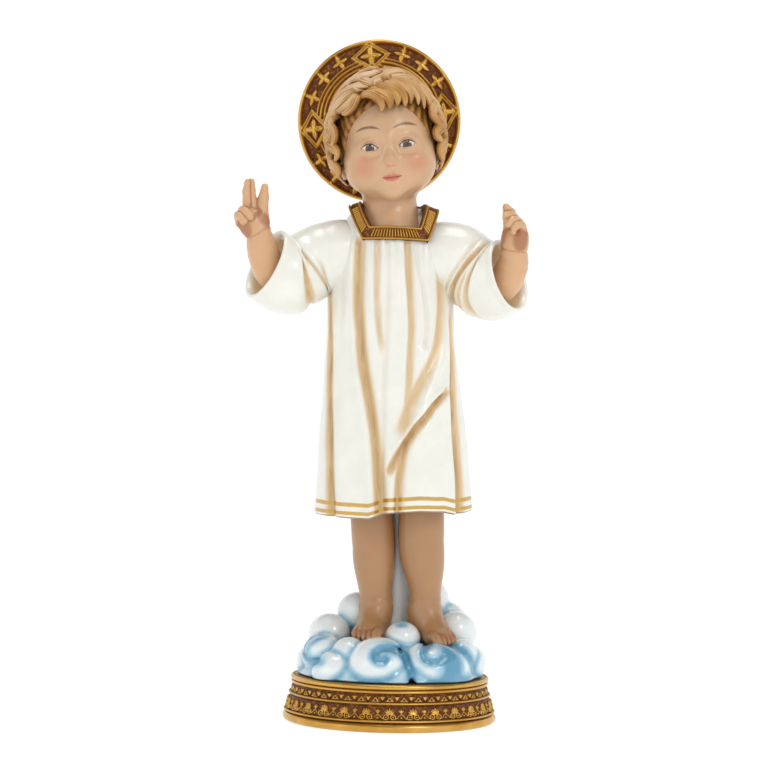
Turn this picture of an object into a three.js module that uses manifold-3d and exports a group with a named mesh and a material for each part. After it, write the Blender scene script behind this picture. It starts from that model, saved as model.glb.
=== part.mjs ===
// A painted resin statuette of the Child Jesus, 300 mm tall: a small child in a long white tunic
// stands with raised hands on a bank of scrolled clouds, with a gilt halo disc behind the head,
// on a round moulded gilt plinth. Child and cloud are one casting; halo and plinth are pieces of
// their own. Millimetres, +Z up, the child faces -Y, origin at the centre of the underside.
import * as THREE from 'three';
import { LoftGeometry } from 'three/addons/geometries/LoftGeometry.js';
import { mergeVertices } from 'three/addons/utils/BufferGeometryUtils.js';
import Module from 'manifold-3d';

const wasm = await Module();
wasm.setup();

// Driving dimensions
const PIECE_GAP = 0.3;
const PLINTH_HEIGHT = 20;
const PLINTH_RADIUS = 46.7;
const CLOUD_RADIUS = 40.5;
const HEM_HEIGHT = 90.5;
const HEM_SLANT = 1.6;
const HEM_THICKNESS = 4;
const HEM_RECESS = 6;
const HEAD_CENTRE = new THREE.Vector3(-5.6, -3, 253.5);
const HEAD_TILT_DEG = -7.5;
const SKULL = new THREE.Vector3(21.3, 23.5, 27.5);
const HAIR = new THREE.Vector3(25.8, 25, 30.6);
const HAIR_SHIFT = new THREE.Vector3(-0.8, 0.6, 1);
const JAW_TAPER = 0.13;
const HAIR_RELIEF = 1.3;
const HAIR_SUNK = 7;
const HAIR_ENDS = { ears: -24, nape: -40 };
const FACE_OPENING = { aside: 54, middle: -22, tall: 50 };
const HALO_CENTRE = new THREE.Vector3(-9.4, 22.5, 264.8);
const HALO_RADIUS = 36.4;
const HALO_THICK = 3;
const HALO_DISH_RADIUS = 22;
const HALO_DISH_DEPTH = 0.4;
const HALO_PROUD = 2.2;
const HALO_TURN_DEG = 8.5;

// Rows of [height, centre x, centre y, half width, half depth] of the tunic, hem to neck
const TUNIC = [
  [90.5, 0.4, 0, 34.6, 26.6],
  [110, 0, 0, 33.2, 25.4],
  [125, -0.6, 0, 31.8, 24.4],
  [145, -1.5, 0, 29.8, 22.6],
  [165, -2.5, 0, 28, 20.8],
  [185, -3, 0, 27.2, 19.6],
  [200, -3.3, 0, 26.4, 18.6],
  [212, -3.6, 0.5, 23.4, 16.2],
  [219, -3.9, 1, 19.2, 13.6],
  [224, -3.9, 1.5, 14.6, 11.4],
];

// Furrows pressed into the tunic's front: the line in [height, x], half width and depth in mm
const FURROWS = [
  { wide: 3.2, deep: 2.1, line: [[86, -27.8], [140, -28], [180, -27], [194, -25.6]] },
  {
    wide: 3.1,
    deep: 2.6,
    line: [[86, -4.8], [112, -6.8], [147, -12], [171, -14.8], [190, -15.8], [206, -15]],
  },
  { wide: 2, deep: 1.6, line: [[116, -6.4], [155, -5.6], [172, -4.3], [209, -3.9]] },
  { wide: 2.4, deep: 1.6, line: [[138, 5.2], [155, 6.6], [177, 7.6], [190, 6.2], [208, 6]] },
  { wide: 1.8, deep: 1.2, line: [[162, 12.2], [177, 13.2], [204, 9.6]] },
  {
    wide: 2.6,
    deep: 1.9,
    line: [[127, 0.2], [134, 4.1], [147, 11.5], [158, 17.4], [172, 19.7], [202, 18.4]],
  },
  { wide: 2.6, deep: 2.3, line: [[105, -4], [120, 3], [127, 7.5], [137, 14], [147, 22.4]] },
  { wide: 2.2, deep: 1.9, line: [[86, 0.8], [98, 1], [112, 2.2], [121, 4]] },
  { wide: 3.1, deep: 2.3, line: [[86, 29.6], [104, 29.6], [121, 28.2], [150, 25.6], [182, 23.6]] },
];
// Ridges of cloth that stand proud beside the furrows, in the same terms
const RIDGES = [
  {
    wide: 2.6,
    deep: 1.5,
    line: [[91, -9.2], [112, -10.6], [147, -16.2], [171, -18.6], [190, -19.4], [206, -18.2]],
  },
  { wide: 2, deep: 0.9, line: [[160, -8.6], [171, -9.8], [210, -10.2]] },
  { wide: 3, deep: 1.1, line: [[116, 7], [131, 14.6], [141, 22]] },
  { wide: 2.6, deep: 1.1, line: [[118, 0.6], [128, 4.6], [142, 13.6], [152, 19.6]] },
];
// Share of its full section that a fold or crease keeps at its ends
const FOLD_TIP = 0.3;
// Height between the stations of a fold
const FOLD_STEP = 30;
const BACK_FURROWS = 5;
const BACK_FURROW = { wide: 2.6, deep: 1.6, top: 200, spread: 68 };
const KNEE = { x: 14.5, height: 119, half: [12, 6, 28], proud: 2.1 };

// The clouds: [x, y, height, radius] of each puff
const PUFFS = [
  [-5, -25.4, 24.5, 14.6],
  [18, -23, 23.5, 14.2],
  [-23.5, -22.5, 22, 10.5],
  [-30, -10, 28.5, 9.4],
  [31.5, -8, 24, 10.2],
  [-27.5, 5, 30.5, 10.6],
  [4.4, -12, 34.5, 8.6],
  [28.5, 4, 35.5, 9.6],
  [-13, 13, 41, 10.8],
  [15.6, 13, 51, 9.4],
  [3, 22, 42, 15],
  [-20, 24, 28, 13.5],
  [23, 23, 29, 13],
  [2, 31, 27, 10],
];
// Scroll grooves on the puffs: puff number, turning hand, start angle, turns, reach over the
// puff and the way the scroll faces
const SCROLLS = [
  { puff: 0, hand: 1, start: 200, turns: 1.05, reach: 0.98, toward: [0, -1, 0.3] },
  { puff: 1, hand: -1, start: 150, turns: 0.6, reach: 0.6, toward: [0.05, -1, 0.45] },
  { puff: 3, hand: -1, start: 60, turns: 0.65, reach: 0.85, toward: [-0.55, -0.9, 0.2] },
];
const SCROLL_GROOVE = 1.6;
// Faceted balls stand a little proud of their radius to be as full as round ones
const PUFF_SWELL = 1.03;
// The mound under the puffs as [radius, height], and the post behind the legs as
// [height, centre x, centre y, half width, half depth]
const MOUND = [[0, 0], [39.9, 0], [CLOUD_RADIUS, 1.5], [38, 6], [31, 10], [24, 14.5], [0, 14.5]];
const POST = [
  [30, 2, 14, 14, 13],
  [56, 2.5, 13.5, 9, 8],
  [76, 2.5, 13, 8.5, 7],
  [99, 2, 13, 10, 8],
];

// Legs as rows of [height, centre x, centre y, half width, half depth]
const RIGHT_LEG = [
  [38, -6.4, 1, 6.6, 7.4],
  [50, -6.6, 0, 6.7, 7],
  [58, -7.2, 0.4, 7.6, 8],
  [68, -7.8, 0.6, 9.2, 9.4],
  [78, -8.2, 0, 9.6, 9.8],
  [100, -10, 0, 9.4, 10],
];
const LEFT_LEG = [
  [36, 14.2, -0.6, 6.8, 7.4],
  [50, 14.8, -1.6, 6.8, 7],
  [58, 14.6, -1.8, 7.2, 8],
  [68, 13.6, -2, 9.4, 9.6],
  [78, 12.6, -3, 10.2, 10.4],
  [100, 12.6, -3.6, 9.6, 10.4],
];
const FEET = [
  { heel: [-6.2, 7, 40.5], toes: [-11.6, -21, 37], bigToeSide: 1 },
  { heel: [13.6, 5, 39.5], toes: [24.6, -19.5, 36.4], bigToeSide: -1 },
];
// A foot as [share of its length, half width, half height], and its toes
const FOOT = [[0, 4.8, 4.8], [0.25, 6, 6.4], [0.6, 6.8, 5.4], [0.86, 7.4, 3.4], [1, 6.2, 1.8]];
// Toes as [across from the middle towards the big toe, share of the length, radius]
const TOES = [[4.9, 1.02, 2.8], [1.7, 1.02, 1.9], [-0.8, 0.97, 1.8], [-3, 0.92, 1.7], [-5, 0.86, 1.6]];

// Sleeves and hands. The child's right arm is at -X. Rows of a sleeve: [x, y, height, radius]
const RIGHT_SLEEVE = [
  [-13, 2, 204, 13],
  [-24, 1.5, 203.8, 15.4],
  [-31.5, 1, 201.8, 15.6],
  [-38, 0, 199.2, 15.8],
  [-43, -1.5, 195.6, 16.3],
  [-49, -4, 194, 16.8],
  [-57.6, -8, 198, 15.8],
];
const LEFT_SLEEVE = [
  [6, 2, 204, 13],
  [17, 1.5, 203.6, 15.4],
  [25, 1, 202, 16.4],
  [31, 0, 198.5, 16.5],
  [36.5, -2, 194.6, 17.2],
  [42, -4.8, 193, 16.8],
  [48.4, -8.4, 195, 15.8],
];
const RIGHT_CREASES = [[0.42, 60, 0.46, 190], [0.7, 25, 0.68, 140]];
const LEFT_CREASES = [[0.42, 60, 0.46, 190], [0.7, 25, 0.68, 140]];
const CREASE = { wide: 2.2, deep: 1.5 };
const CUFF_WALL = 1.7;
const CUFF_DEPTH = 9;
const CUFF_TAPER = 2.4;
const FOREARM_RADIUS = 7;
const KNUCKLE_BENDS = [0.5, 1.25, 1.15];
const PALM = { length: 11, halfWidth: 5.8, halfThick: 3.9 };
const HANDS = [
  {
    wrist: [-61, -16, 212],
    arm: [[-44, -3, 193], [-53.5, -8, 193.5], [-58.4, -12.5, 203]],
    up: [-0.52, -0.14, 0.84],
    palm: [0.35, -0.93, 0],
    thumbSide: 1,
    fingers: [
      { across: 2.9, length: 13.4, radius: 1.9, curl: 10, lean: -22 },
      { across: 0.2, length: 14, radius: 1.95, curl: 10, lean: -25 },
      { across: -2.6, length: 12, radius: 1.9, curl: 80, lean: -10 },
      { across: -4.8, length: 10.6, radius: 1.75, curl: 82, lean: -4 },
    ],
    thumb: { length: 15.4, radius: 2.1, curl: 6, lean: 34 },
  },
  {
    wrist: [50.6, -15.5, 206.5],
    arm: [[36, -3, 192], [45, -8, 191], [49.6, -12, 199]],
    up: [0.1, -0.16, 0.98],
    palm: [-0.74, -0.66, 0],
    thumbSide: -1,
    fingers: [
      { across: 3.4, length: 12.4, radius: 1.85, curl: 20, lean: -8 },
      { across: 1.1, length: 12.4, radius: 1.9, curl: 32, lean: -6 },
      { across: -1.4, length: 11.4, radius: 1.85, curl: 44, lean: -4 },
      { across: -3.8, length: 10, radius: 1.7, curl: 54, lean: -2 },
    ],
    thumb: { length: 15.6, radius: 2.1, curl: 6, lean: 6 },
  },
];

// The gilt neckline: points of its middle line on the tunic, and the band's section
const NECKLINE = [
  [-20.4, -4, 222],
  [-15.4, -13.8, 213],
  [-2.9, -16.9, 212],
  [9.6, -14, 213],
  [13.2, -4, 222],
  [10.6, 9.5, 222.6],
  [-3.8, 14.2, 222],
  [-18, 9.5, 222.6],
];
const NECKLINE_WIDTH = 5.4;
const NECKLINE_PROUD = 0.8;
const NECKLINE_SUNK = 2.6;

// The face as soft swellings and hollows on the front of the skull, in the head's own mm:
// [x, height, half width, half height, push forward]; those off the middle come in pairs
const FACE = [
  [0, -4, 3, 8, 1.8],
  [8.2, -3.6, 5, 3.6, -2],
  [10.6, -13, 5.6, 5.4, 1.6],
  [0, -18, 6, 4, 0.8],
  [0, -24.2, 5, 2.8, 2],
];
const EYE = { x: 8.1, height: -4.2, half: [3.2, 2.1, 2], sunk: 0.9 };
const EAR = { x: 20.2, y: 0.5, height: -8, half: [2.2, 4, 6] };
const NECK = [
  [212, -3.8, 1, 14, 11],
  [221, -3.8, 0.4, 12.8, 10.6],
  [230, -4.2, 1, 12, 11],
  [242, -5, 2, 12.5, 12],
];
// Raised lines on the face as [x, height] with half width and proud height
const FACE_LINES = [
  { line: [[0, -2], [0, -7], [0, -11.4]], wide: [1.2, 1.7, 2.5], deep: [0.8, 2.2, 3.8] },
  {
    line: [[-4.1, -17.4], [-1.6, -16.7], [1.6, -16.7], [4.1, -17.4]],
    wide: [0.5, 1, 1, 0.5],
    deep: [0.5, 1.2, 1.2, 0.5],
  },
  { line: [[-3.2, -18.1], [0, -18.6], [3.2, -18.1]], wide: [0.6, 1.2, 0.6], deep: [0.5, 1.4, 0.5] },
];
const PAIRED_FACE_LINES = [
  { line: [[4.6, -4], [8, -1.7], [11.8, -4]], wide: [0.5, 0.7, 0.5], deep: [0.7, 1.3, 0.7] },
];

// The halo's ornaments, and its section as [radius, height]
const STAR = { distance: 31, apartDeg: 18.5, radius: 3.5, height: 2.2, waist: 0.5, lift: 0.7 };
const LOZENGE = { distance: 28.9, long: 6.6, wide: 8.4, frame: 1.5, height: 2.6, flower: 4.8 };
const HALO_SECTION = [
  [0, -HALO_THICK / 2], [HALO_RADIUS - 1.2, -HALO_THICK / 2], [HALO_RADIUS, 0.4],
  [HALO_RADIUS - 1.4, 1.5], [HALO_RADIUS - 2.6, 0], [28.2, 0], [27.4, 1],
  [26.3, 0.2], [25.2, 0.9], [24, 0], [0, -HALO_DISH_DEPTH],
];
// The plinth's section as [radius, height], its leaves and the pendants above them
const PLINTH_SECTION = [
  [0, 0], [45.8, 0], [PLINTH_RADIUS, 1.6], [45.6, 4.2], [46, 5.2], [45, 6], [44, 10.8],
  [44.2, 12.2], [42.4, 12.9], [42.4, 16], [43.3, 18.6], [41, PLINTH_HEIGHT], [0, PLINTH_HEIGHT],
];
const LEAF = { count: 16, wide: 3.4, tall: 5, flat: 0.22, distance: 44.6, height: 8.1, leanBack: 0.2 };
const PENDANT = { count: 20, wide: 2.2, tall: 2.4, flat: 0.5, distance: 42.4, height: 14.1 };
const DISC_SIDES = 28;

const bell = (s) => Math.exp(-s * s);
const vector = (list) => new THREE.Vector3(...list);
const radians = THREE.MathUtils.degToRad;
const turnsOf = (count) => Array.from({ length: count }, (_, k) => (k / count) * 2 * Math.PI);

// Smooth reading of rows that start with their position: the other values at one position
function along(rows, at) {
  const last = rows.length - 1;
  let i = 0;
  while (i < last - 1 && at > rows[i + 1][0]) i++;
  const span = rows[i + 1][0] - rows[i][0];
  const t = THREE.MathUtils.clamp((at - rows[i][0]) / span, 0, 1);
  const slope = (k, c) => {
    const before = rows[Math.max(k - 1, 0)];
    const after = rows[Math.min(k + 1, last)];
    return (after[c] - before[c]) / (after[0] - before[0]);
  };
  const t2 = t * t;
  const t3 = t2 * t;
  return rows[i].slice(1).map((value, n) => {
    const c = n + 1;
    return (2 * t3 - 3 * t2 + 1) * value + (3 * t2 - 2 * t3) * rows[i + 1][c]
      + span * ((t3 - 2 * t2 + t) * slope(i, c) + (t3 - t2) * slope(i + 1, c));
  });
}

// A round body from its section of [radius, height] rows
function turned(section, sides) {
  const profile = section.map(([r, z]) => new THREE.Vector2(r, z));
  return new THREE.LatheGeometry(profile, sides).rotateX(Math.PI / 2);
}

// A closed geometry as a solid, with its faces turned outwards
function solidOf(geometry) {
  const plain = new THREE.BufferGeometry().copy(geometry);
  plain.deleteAttribute('normal');
  plain.deleteAttribute('uv');
  const merged = mergeVertices(plain, 1e-3);
  const at = merged.attributes.position;
  const index = merged.index.array;
  const corner = [0, 1, 2].map(() => new THREE.Vector3());
  const kept = [];
  let volume = 0;
  for (let i = 0; i < index.length; i += 3) {
    const [a, b, c] = [index[i], index[i + 1], index[i + 2]];
    if (a === b || b === c || a === c) continue;
    [a, b, c].forEach((v, k) => corner[k].fromBufferAttribute(at, v));
    volume += corner[0].dot(corner[1].clone().cross(corner[2]));
    kept.push([a, b, c]);
  }
  const triVerts = new Uint32Array(kept.flatMap(([a, b, c]) => (volume < 0 ? [a, c, b] : [a, b, c])));
  return new wasm.Manifold(new wasm.Mesh({ numProp: 3, vertProperties: at.array, triVerts }));
}

// A solid through closed sections, each end closed by a fan to its middle
function loft(sections) {
  const fan = (section) => {
    const sum = section.reduce((total, p) => total.add(p), new THREE.Vector3());
    const middle = sum.divideScalar(section.length);
    return section.map(() => middle);
  };
  return solidOf(new LoftGeometry([fan(sections[0]), ...sections, fan(sections[sections.length - 1])]));
}

const fuse = (solids) => solids.reduce((whole, next) => whole.add(next));
const cut = (whole, solids) => solids.reduce((rest, next) => rest.subtract(next), whole);

// The triangles of a solid's outer skin: pockets sealed inside it are filled in
function outerSkin(triVerts, count) {
  const root = Uint32Array.from({ length: count }, (_, v) => v);
  const find = (v) => {
    let top = v;
    while (root[top] !== top) top = root[top];
    root[v] = top;
    return top;
  };
  for (let i = 0; i < triVerts.length; i += 3) {
    root[find(triVerts[i + 1])] = find(triVerts[i]);
    root[find(triVerts[i + 2])] = find(triVerts[i]);
  }
  const sizes = new Map();
  triVerts.forEach((v) => sizes.set(find(v), (sizes.get(find(v)) ?? 0) + 1));
  const [skin] = [...sizes].reduce((best, next) => (next[1] > best[1] ? next : best));
  return triVerts.filter((v) => find(v) === skin);
}

// A solid as a named mesh
function meshOf(name, solid, material) {
  const { numProp, numVert, vertProperties, triVerts } = solid.getMesh();
  const places = new Float32Array(numVert * 3);
  for (let i = 0; i < numVert; i++) {
    places.set(vertProperties.subarray(i * numProp, i * numProp + 3), i * 3);
  }
  const geometry = new THREE.BufferGeometry()
    .setAttribute('position', new THREE.BufferAttribute(places, 3))
    .setIndex(new THREE.BufferAttribute(outerSkin(triVerts, numVert), 1));
  geometry.computeVertexNormals();
  const mesh = new THREE.Mesh(geometry, material);
  mesh.name = name;
  return mesh;
}

// An ellipsoid at a place, turned by a quaternion if one is given
function ellipsoid(centre, radii, [columns, rows], turn) {
  const geometry = new THREE.SphereGeometry(1, columns, rows).rotateX(Math.PI / 2).scale(...radii);
  if (turn) geometry.applyQuaternion(turn);
  return solidOf(geometry.translate(...centre));
}

// A lens-shaped bar that follows stations of { place, normal, wide, deep } over a surface
function ribbon(stations, sides) {
  return loft(stations.map(({ place, normal, wide, deep }, i) => {
    const before = stations[Math.max(i - 1, 0)].place;
    const after = stations[Math.min(i + 1, stations.length - 1)].place;
    const side = after.clone().sub(before).cross(normal).normalize();
    return turnsOf(sides).map((angle) => place.clone()
      .addScaledVector(side, wide * Math.cos(angle))
      .addScaledVector(normal, deep * Math.sin(angle)));
  }));
}

// A path through rows of [x, y, z, radius]: the place, two cross directions and the radius at a
// share of its length
function pathOf(rows) {
  const curve = new THREE.CatmullRomCurve3(rows.map(([x, y, z]) => new THREE.Vector3(x, y, z)));
  const radii = rows.map((row, i) => [i / (rows.length - 1), row[3]]);
  return (t) => {
    const tangent = curve.getTangent(t);
    const side = new THREE.Vector3(0, 1, 0).cross(tangent).normalize();
    const front = tangent.clone().cross(side);
    return { place: curve.getPoint(t), tangent, side, front, radius: along(radii, t)[0] };
  };
}

// A point on the skin of a path, with its outward direction
function onPath({ place, side, front, radius }, angle, share = 1) {
  const normal = side.clone().multiplyScalar(Math.cos(angle)).addScaledVector(front, Math.sin(angle));
  return { place: place.clone().addScaledVector(normal, radius * share), normal };
}

// A round bar along rows of [x, y, z, radius], with a domed end if wanted
function bar(rows, steps, sides, { swell = () => 1, domed = false } = {}) {
  const path = pathOf(rows);
  const sections = Array.from({ length: steps + 1 }, (_, i) => {
    const t = i / steps;
    return turnsOf(sides).map((angle) => onPath(path(t), angle, swell(t, angle)).place);
  });
  if (domed) {
    const { place, tangent, radius } = path(1);
    const rise = tangent.clone().multiplyScalar(radius * 0.55);
    const top = place.add(rise);
    sections.push(sections[steps].map((p) => p.clone().add(rise).lerp(top, 0.45)));
  }
  return loft(sections);
}

// A solid through level elliptical sections: rows of [height, cx, cy, half width, half depth]
function column(rows, heights, sides) {
  return loft(heights.map((height) => {
    const [cx, cy, halfWidth, halfDepth] = along(rows, height);
    return turnsOf(sides).map((angle) => (
      new THREE.Vector3(cx + halfWidth * Math.sin(angle), cy - halfDepth * Math.cos(angle), height)));
  }));
}

// A point of the smooth tunic (angle 0 at the front), or `inset` mm inside it
function tunicPoint(angle, height, inset = 0) {
  const [cx, cy, halfWidth, halfDepth] = along(TUNIC, height);
  const nearHem = 1 - THREE.MathUtils.smoothstep(height, HEM_HEIGHT, HEM_HEIGHT + 40);
  return new THREE.Vector3(
    cx + (halfWidth - inset) * Math.sin(angle),
    cy - (halfDepth - inset) * Math.cos(angle),
    height + nearHem * HEM_SLANT * Math.sin(angle),
  );
}

// A station of a furrow or ridge on the tunic
function onTunic(angle, height, wide, deep) {
  const [cx, cy, halfWidth, halfDepth] = along(TUNIC, height);
  const place = tunicPoint(angle, height);
  const normal = new THREE.Vector3((place.x - cx) / halfWidth ** 2, (place.y - cy) / halfDepth ** 2, 0);
  return { place, normal: normal.normalize(), wide, deep };
}

// A furrow or ridge along its line, tapering to its ends above the hem
function tunicFold({ line, wide, deep }) {
  const low = line[0][0];
  const high = line[line.length - 1][0];
  const steps = Math.ceil((high - low) / FOLD_STEP);
  return ribbon(Array.from({ length: steps + 1 }, (_, i) => {
    const share = i / steps;
    const height = low + (high - low) * share;
    const [x] = along(line, height);
    const [cx, , halfWidth] = along(TUNIC, height);
    const angle = Math.asin(THREE.MathUtils.clamp((x - cx) / halfWidth, -1, 1));
    const full = low < HEM_HEIGHT + 3 ? 1 - share ** 2 : Math.sin(share * Math.PI);
    const size = FOLD_TIP + (1 - FOLD_TIP) * full;
    return onTunic(angle, height, wide * size, deep * size);
  }), 4);
}

// The plainer furrows down the back
function backFurrow(n) {
  const angle = Math.PI + radians(BACK_FURROW.spread * ((2 * n) / (BACK_FURROWS - 1) - 1));
  const heights = [86, 130, BACK_FURROW.top];
  return ribbon(heights.map((height, i) => (
    onTunic(angle, height, BACK_FURROW.wide * (1 - i * 0.2), BACK_FURROW.deep * (1 - i * 0.25)))), 4);
}

// The tunic's body: recess under the hem, lip, cloth up to the neck, with its folds
function tunic() {
  const angles = turnsOf(24);
  const ring = (height, inset) => angles.map((angle) => tunicPoint(angle, height, inset));
  const body = loft([
    ring(HEM_HEIGHT, HEM_THICKNESS).map((p) => p.setZ(p.z + HEM_RECESS)),
    ring(HEM_HEIGHT, HEM_THICKNESS),
    ring(HEM_HEIGHT, 0.4),
    ...[92, 140, 190, 207, 217, 224].map((height) => ring(height, 0)),
  ]);
  const knee = onTunic(Math.asin((KNEE.x - 0.5) / 32), KNEE.height, 0, 0);
  const bulge = knee.place.addScaledVector(knee.normal, KNEE.proud - KNEE.half[1]);
  const proud = fuse([body, ellipsoid(bulge, KNEE.half, [8, 6]), ...RIDGES.map(tunicFold)]);
  return cut(proud, [...FURROWS.map(tunicFold), ...turnsOf(BACK_FURROWS).map((_, n) => backFurrow(n))]);
}

// Cloth puckers round a bent sleeve, as a share of its radius
function pucker(t, angle) {
  return 1 + 0.035 * bell((t - 0.55) / 0.3) * Math.sin(20 * t + 1.6 * Math.cos(angle));
}

// One wide sleeve, hollow at its cuff, with creases cut across the bend. A crease is
// [start share, start degrees, end share, end degrees] on the sleeve.
function sleeve(rows, creases) {
  const path = pathOf(rows);
  const mouth = path(1);
  const inner = mouth.radius - CUFF_WALL;
  const at = (distance, radius) => (
    [...mouth.place.clone().addScaledVector(mouth.tangent, distance), radius]);
  const cavity = bar([
    at(-CUFF_DEPTH, inner - CUFF_TAPER),
    at(-CUFF_DEPTH / 2, inner - CUFF_TAPER / 4),
    at(1, inner),
  ], 2, 9);
  const grooves = creases.map(([t0, angle0, t1, angle1]) => ribbon([0, 0.25, 0.5, 0.75, 1].map((s) => {
    const t = t0 + (t1 - t0) * s;
    const angle = radians(angle0 + (angle1 - angle0) * s);
    const size = FOLD_TIP + (1 - FOLD_TIP) * Math.sin(s * Math.PI);
    const station = onPath(path(t), angle, pucker(t, angle));
    return { ...station, wide: CREASE.wide * size, deep: CREASE.deep * size };
  }), 4));
  return cut(bar(rows, 6, 11, { swell: pucker }), [cavity, ...grooves]);
}

// A finger's path: it starts at the knuckle and bends towards the palm at each joint
function fingerPath(start, up, palm, hinge, { length, curl, lean }) {
  const direction = up.clone().applyAxisAngle(palm, radians(lean));
  const points = [start];
  [0.4, 0.32, 0.28].forEach((share, i) => {
    direction.applyAxisAngle(hinge, radians(curl) * KNUCKLE_BENDS[i]);
    points.push(points[i].clone().addScaledVector(direction, length * share));
  });
  return points;
}

// A hand with its forearm
function hand({ wrist, arm, up, palm, thumbSide, fingers, thumb }) {
  const root = vector(wrist);
  const upward = vector(up).normalize();
  const facing = vector(palm);
  facing.addScaledVector(upward, -facing.dot(upward)).normalize();
  // turning about the hinge bends a finger towards the palm
  const hinge = upward.clone().cross(facing);
  const toThumb = hinge.clone().multiplyScalar(thumbSide);
  const basis = new THREE.Matrix4().makeBasis(hinge, facing.clone().negate(), upward);
  const turn = new THREE.Quaternion().setFromRotationMatrix(basis);
  const middle = root.clone().addScaledVector(upward, PALM.length * 0.5);
  const digit = (path, radius, shape) => (
    bar(path.map((p, i) => [...p, radius * shape[i]]), 3, 5, { domed: true }));
  const forearm = bar([
    ...arm.map((place) => [...place, FOREARM_RADIUS]),
    [...root, FOREARM_RADIUS * 0.78],
    [...root.clone().addScaledVector(upward, 2.5), FOREARM_RADIUS * 0.72],
  ], 4, 7);
  const digits = fingers.map((finger) => {
    const start = root.clone()
      .addScaledVector(upward, PALM.length * 0.82 - Math.abs(finger.across) * 0.15)
      .addScaledVector(toThumb, finger.across);
    const path = fingerPath(start, upward, facing, hinge, finger);
    return digit(path, finger.radius, [1.05, 1, 0.95, 0.82]);
  });
  const thumbStart = root.clone()
    .addScaledVector(upward, 2.6)
    .addScaledVector(toThumb, PALM.halfWidth * 0.62)
    .addScaledVector(facing, 1);
  const thumbShape = { ...thumb, lean: -thumb.lean * thumbSide };
  const thumbPath = fingerPath(thumbStart, upward, facing, hinge, thumbShape);
  return fuse([
    forearm,
    ellipsoid(middle, [PALM.halfWidth, PALM.halfThick, PALM.length * 0.68], [7, 5], turn),
    ...digits,
    digit(thumbPath, thumb.radius, [1.3, 1.15, 1, 0.85]),
  ]);
}

// A bare foot: heel to ball through rows of [share, half width, half height], and five toes
function foot({ heel, toes, bigToeSide }) {
  const back = vector(heel);
  const forward = vector(toes).sub(back);
  const length = forward.length();
  forward.normalize();
  const side = forward.clone().cross(new THREE.Vector3(0, 0, 1)).normalize();
  const body = loft([0, 0.25, 0.55, 0.85, 1].map((t) => {
    const [halfWidth, halfHeight] = along(FOOT, t);
    const place = back.clone().addScaledVector(forward, length * t * 0.88);
    return turnsOf(8).map((angle) => place.clone()
      .addScaledVector(side, halfWidth * Math.cos(angle))
      .add(new THREE.Vector3(0, 0, halfHeight * Math.sin(angle))));
  }));
  const turn = new THREE.Quaternion().setFromUnitVectors(new THREE.Vector3(0, -1, 0), forward);
  const toeSolids = TOES.map(([across, share, radius]) => {
    const centre = back.clone()
      .addScaledVector(forward, length * share - radius)
      .addScaledVector(side, -bigToeSide * across)
      .add(new THREE.Vector3(0, 0, radius * 0.35));
    return ellipsoid(centre, [radius, radius * 2, radius], [6, 4], turn);
  });
  return fuse([body, ...toeSolids]);
}

const headTurn = new THREE.Quaternion()
  .setFromAxisAngle(new THREE.Vector3(0, 1, 0), radians(HEAD_TILT_DEG));
const onHead = (x, y, z) => new THREE.Vector3(x, y, z).applyQuaternion(headTurn).add(HEAD_CENTRE);

// A point of the bare head at an azimuth (0 at the face) and elevation: an egg that narrows to
// the chin and stays full in front, with the face's swellings
function skullPoint(azimuth, elevation) {
  const level = Math.cos(elevation);
  const low = Math.max(-Math.sin(elevation), 0);
  const facing = Math.cos(azimuth);
  const x = SKULL.x * level * Math.sin(azimuth) * (1 - JAW_TAPER * low ** 1.8);
  const z = SKULL.z * Math.sin(elevation);
  const fullness = facing > 0 ? level ** (1 - 0.3 * facing) : level * (1 + 0.2 * low * facing);
  const push = FACE.reduce((sum, [fx, fz, fw, fh, amount]) => (
    sum + amount * bell((Math.abs(x) - fx) / fw) * bell((z - fz) / fh)), 0);
  const y = -SKULL.y * fullness * facing * (1 - JAW_TAPER * low ** 1.8);
  return onHead(x, y - push * Math.min(Math.max(level * facing, 0) * 1.6, 1), z);
}

// The place on the face in front of a point of the head's own middle plane
function onFace(x, z, proud = 0) {
  const elevation = Math.asin(z / SKULL.z);
  const low = Math.max(-Math.sin(elevation), 0);
  const azimuth = Math.asin(x / (SKULL.x * Math.cos(elevation) * (1 - JAW_TAPER * low ** 1.8)));
  return skullPoint(azimuth, elevation).add(new THREE.Vector3(0, -proud, 0));
}

function faceLine({ line, wide, deep }, side = 1) {
  const forward = new THREE.Vector3(0, -1, 0);
  return ribbon(line.map(([x, z], i) => (
    { place: onFace(side * x, z), normal: forward, wide: wide[i], deep: deep[i] })), 5);
}

function head() {
  const azimuths = turnsOf(16).map((even) => even - Math.PI - 0.45 * Math.sin(even - Math.PI));
  const elevations = [-84, -68, -58, -50, -43, -36, -29, -22, -15, -8, 0, 12, 40, 70];
  const skull = loft(elevations.map((e) => azimuths.map((azimuth) => skullPoint(azimuth, radians(e)))));
  const pairs = [-1, 1].flatMap((side) => [
    ellipsoid(onHead(side * EAR.x, EAR.y, EAR.height), EAR.half, [6, 5], headTurn),
    ellipsoid(onFace(side * EYE.x, EYE.height, -EYE.sunk), EYE.half, [8, 5], headTurn),
    ...PAIRED_FACE_LINES.map((feature) => faceLine(feature, side)),
  ]);
  const neck = column(NECK, NECK.map(([height]) => height), 12);
  return fuse([skull, neck, ...pairs, ...FACE_LINES.map((feature) => faceLine(feature))]);
}

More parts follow.
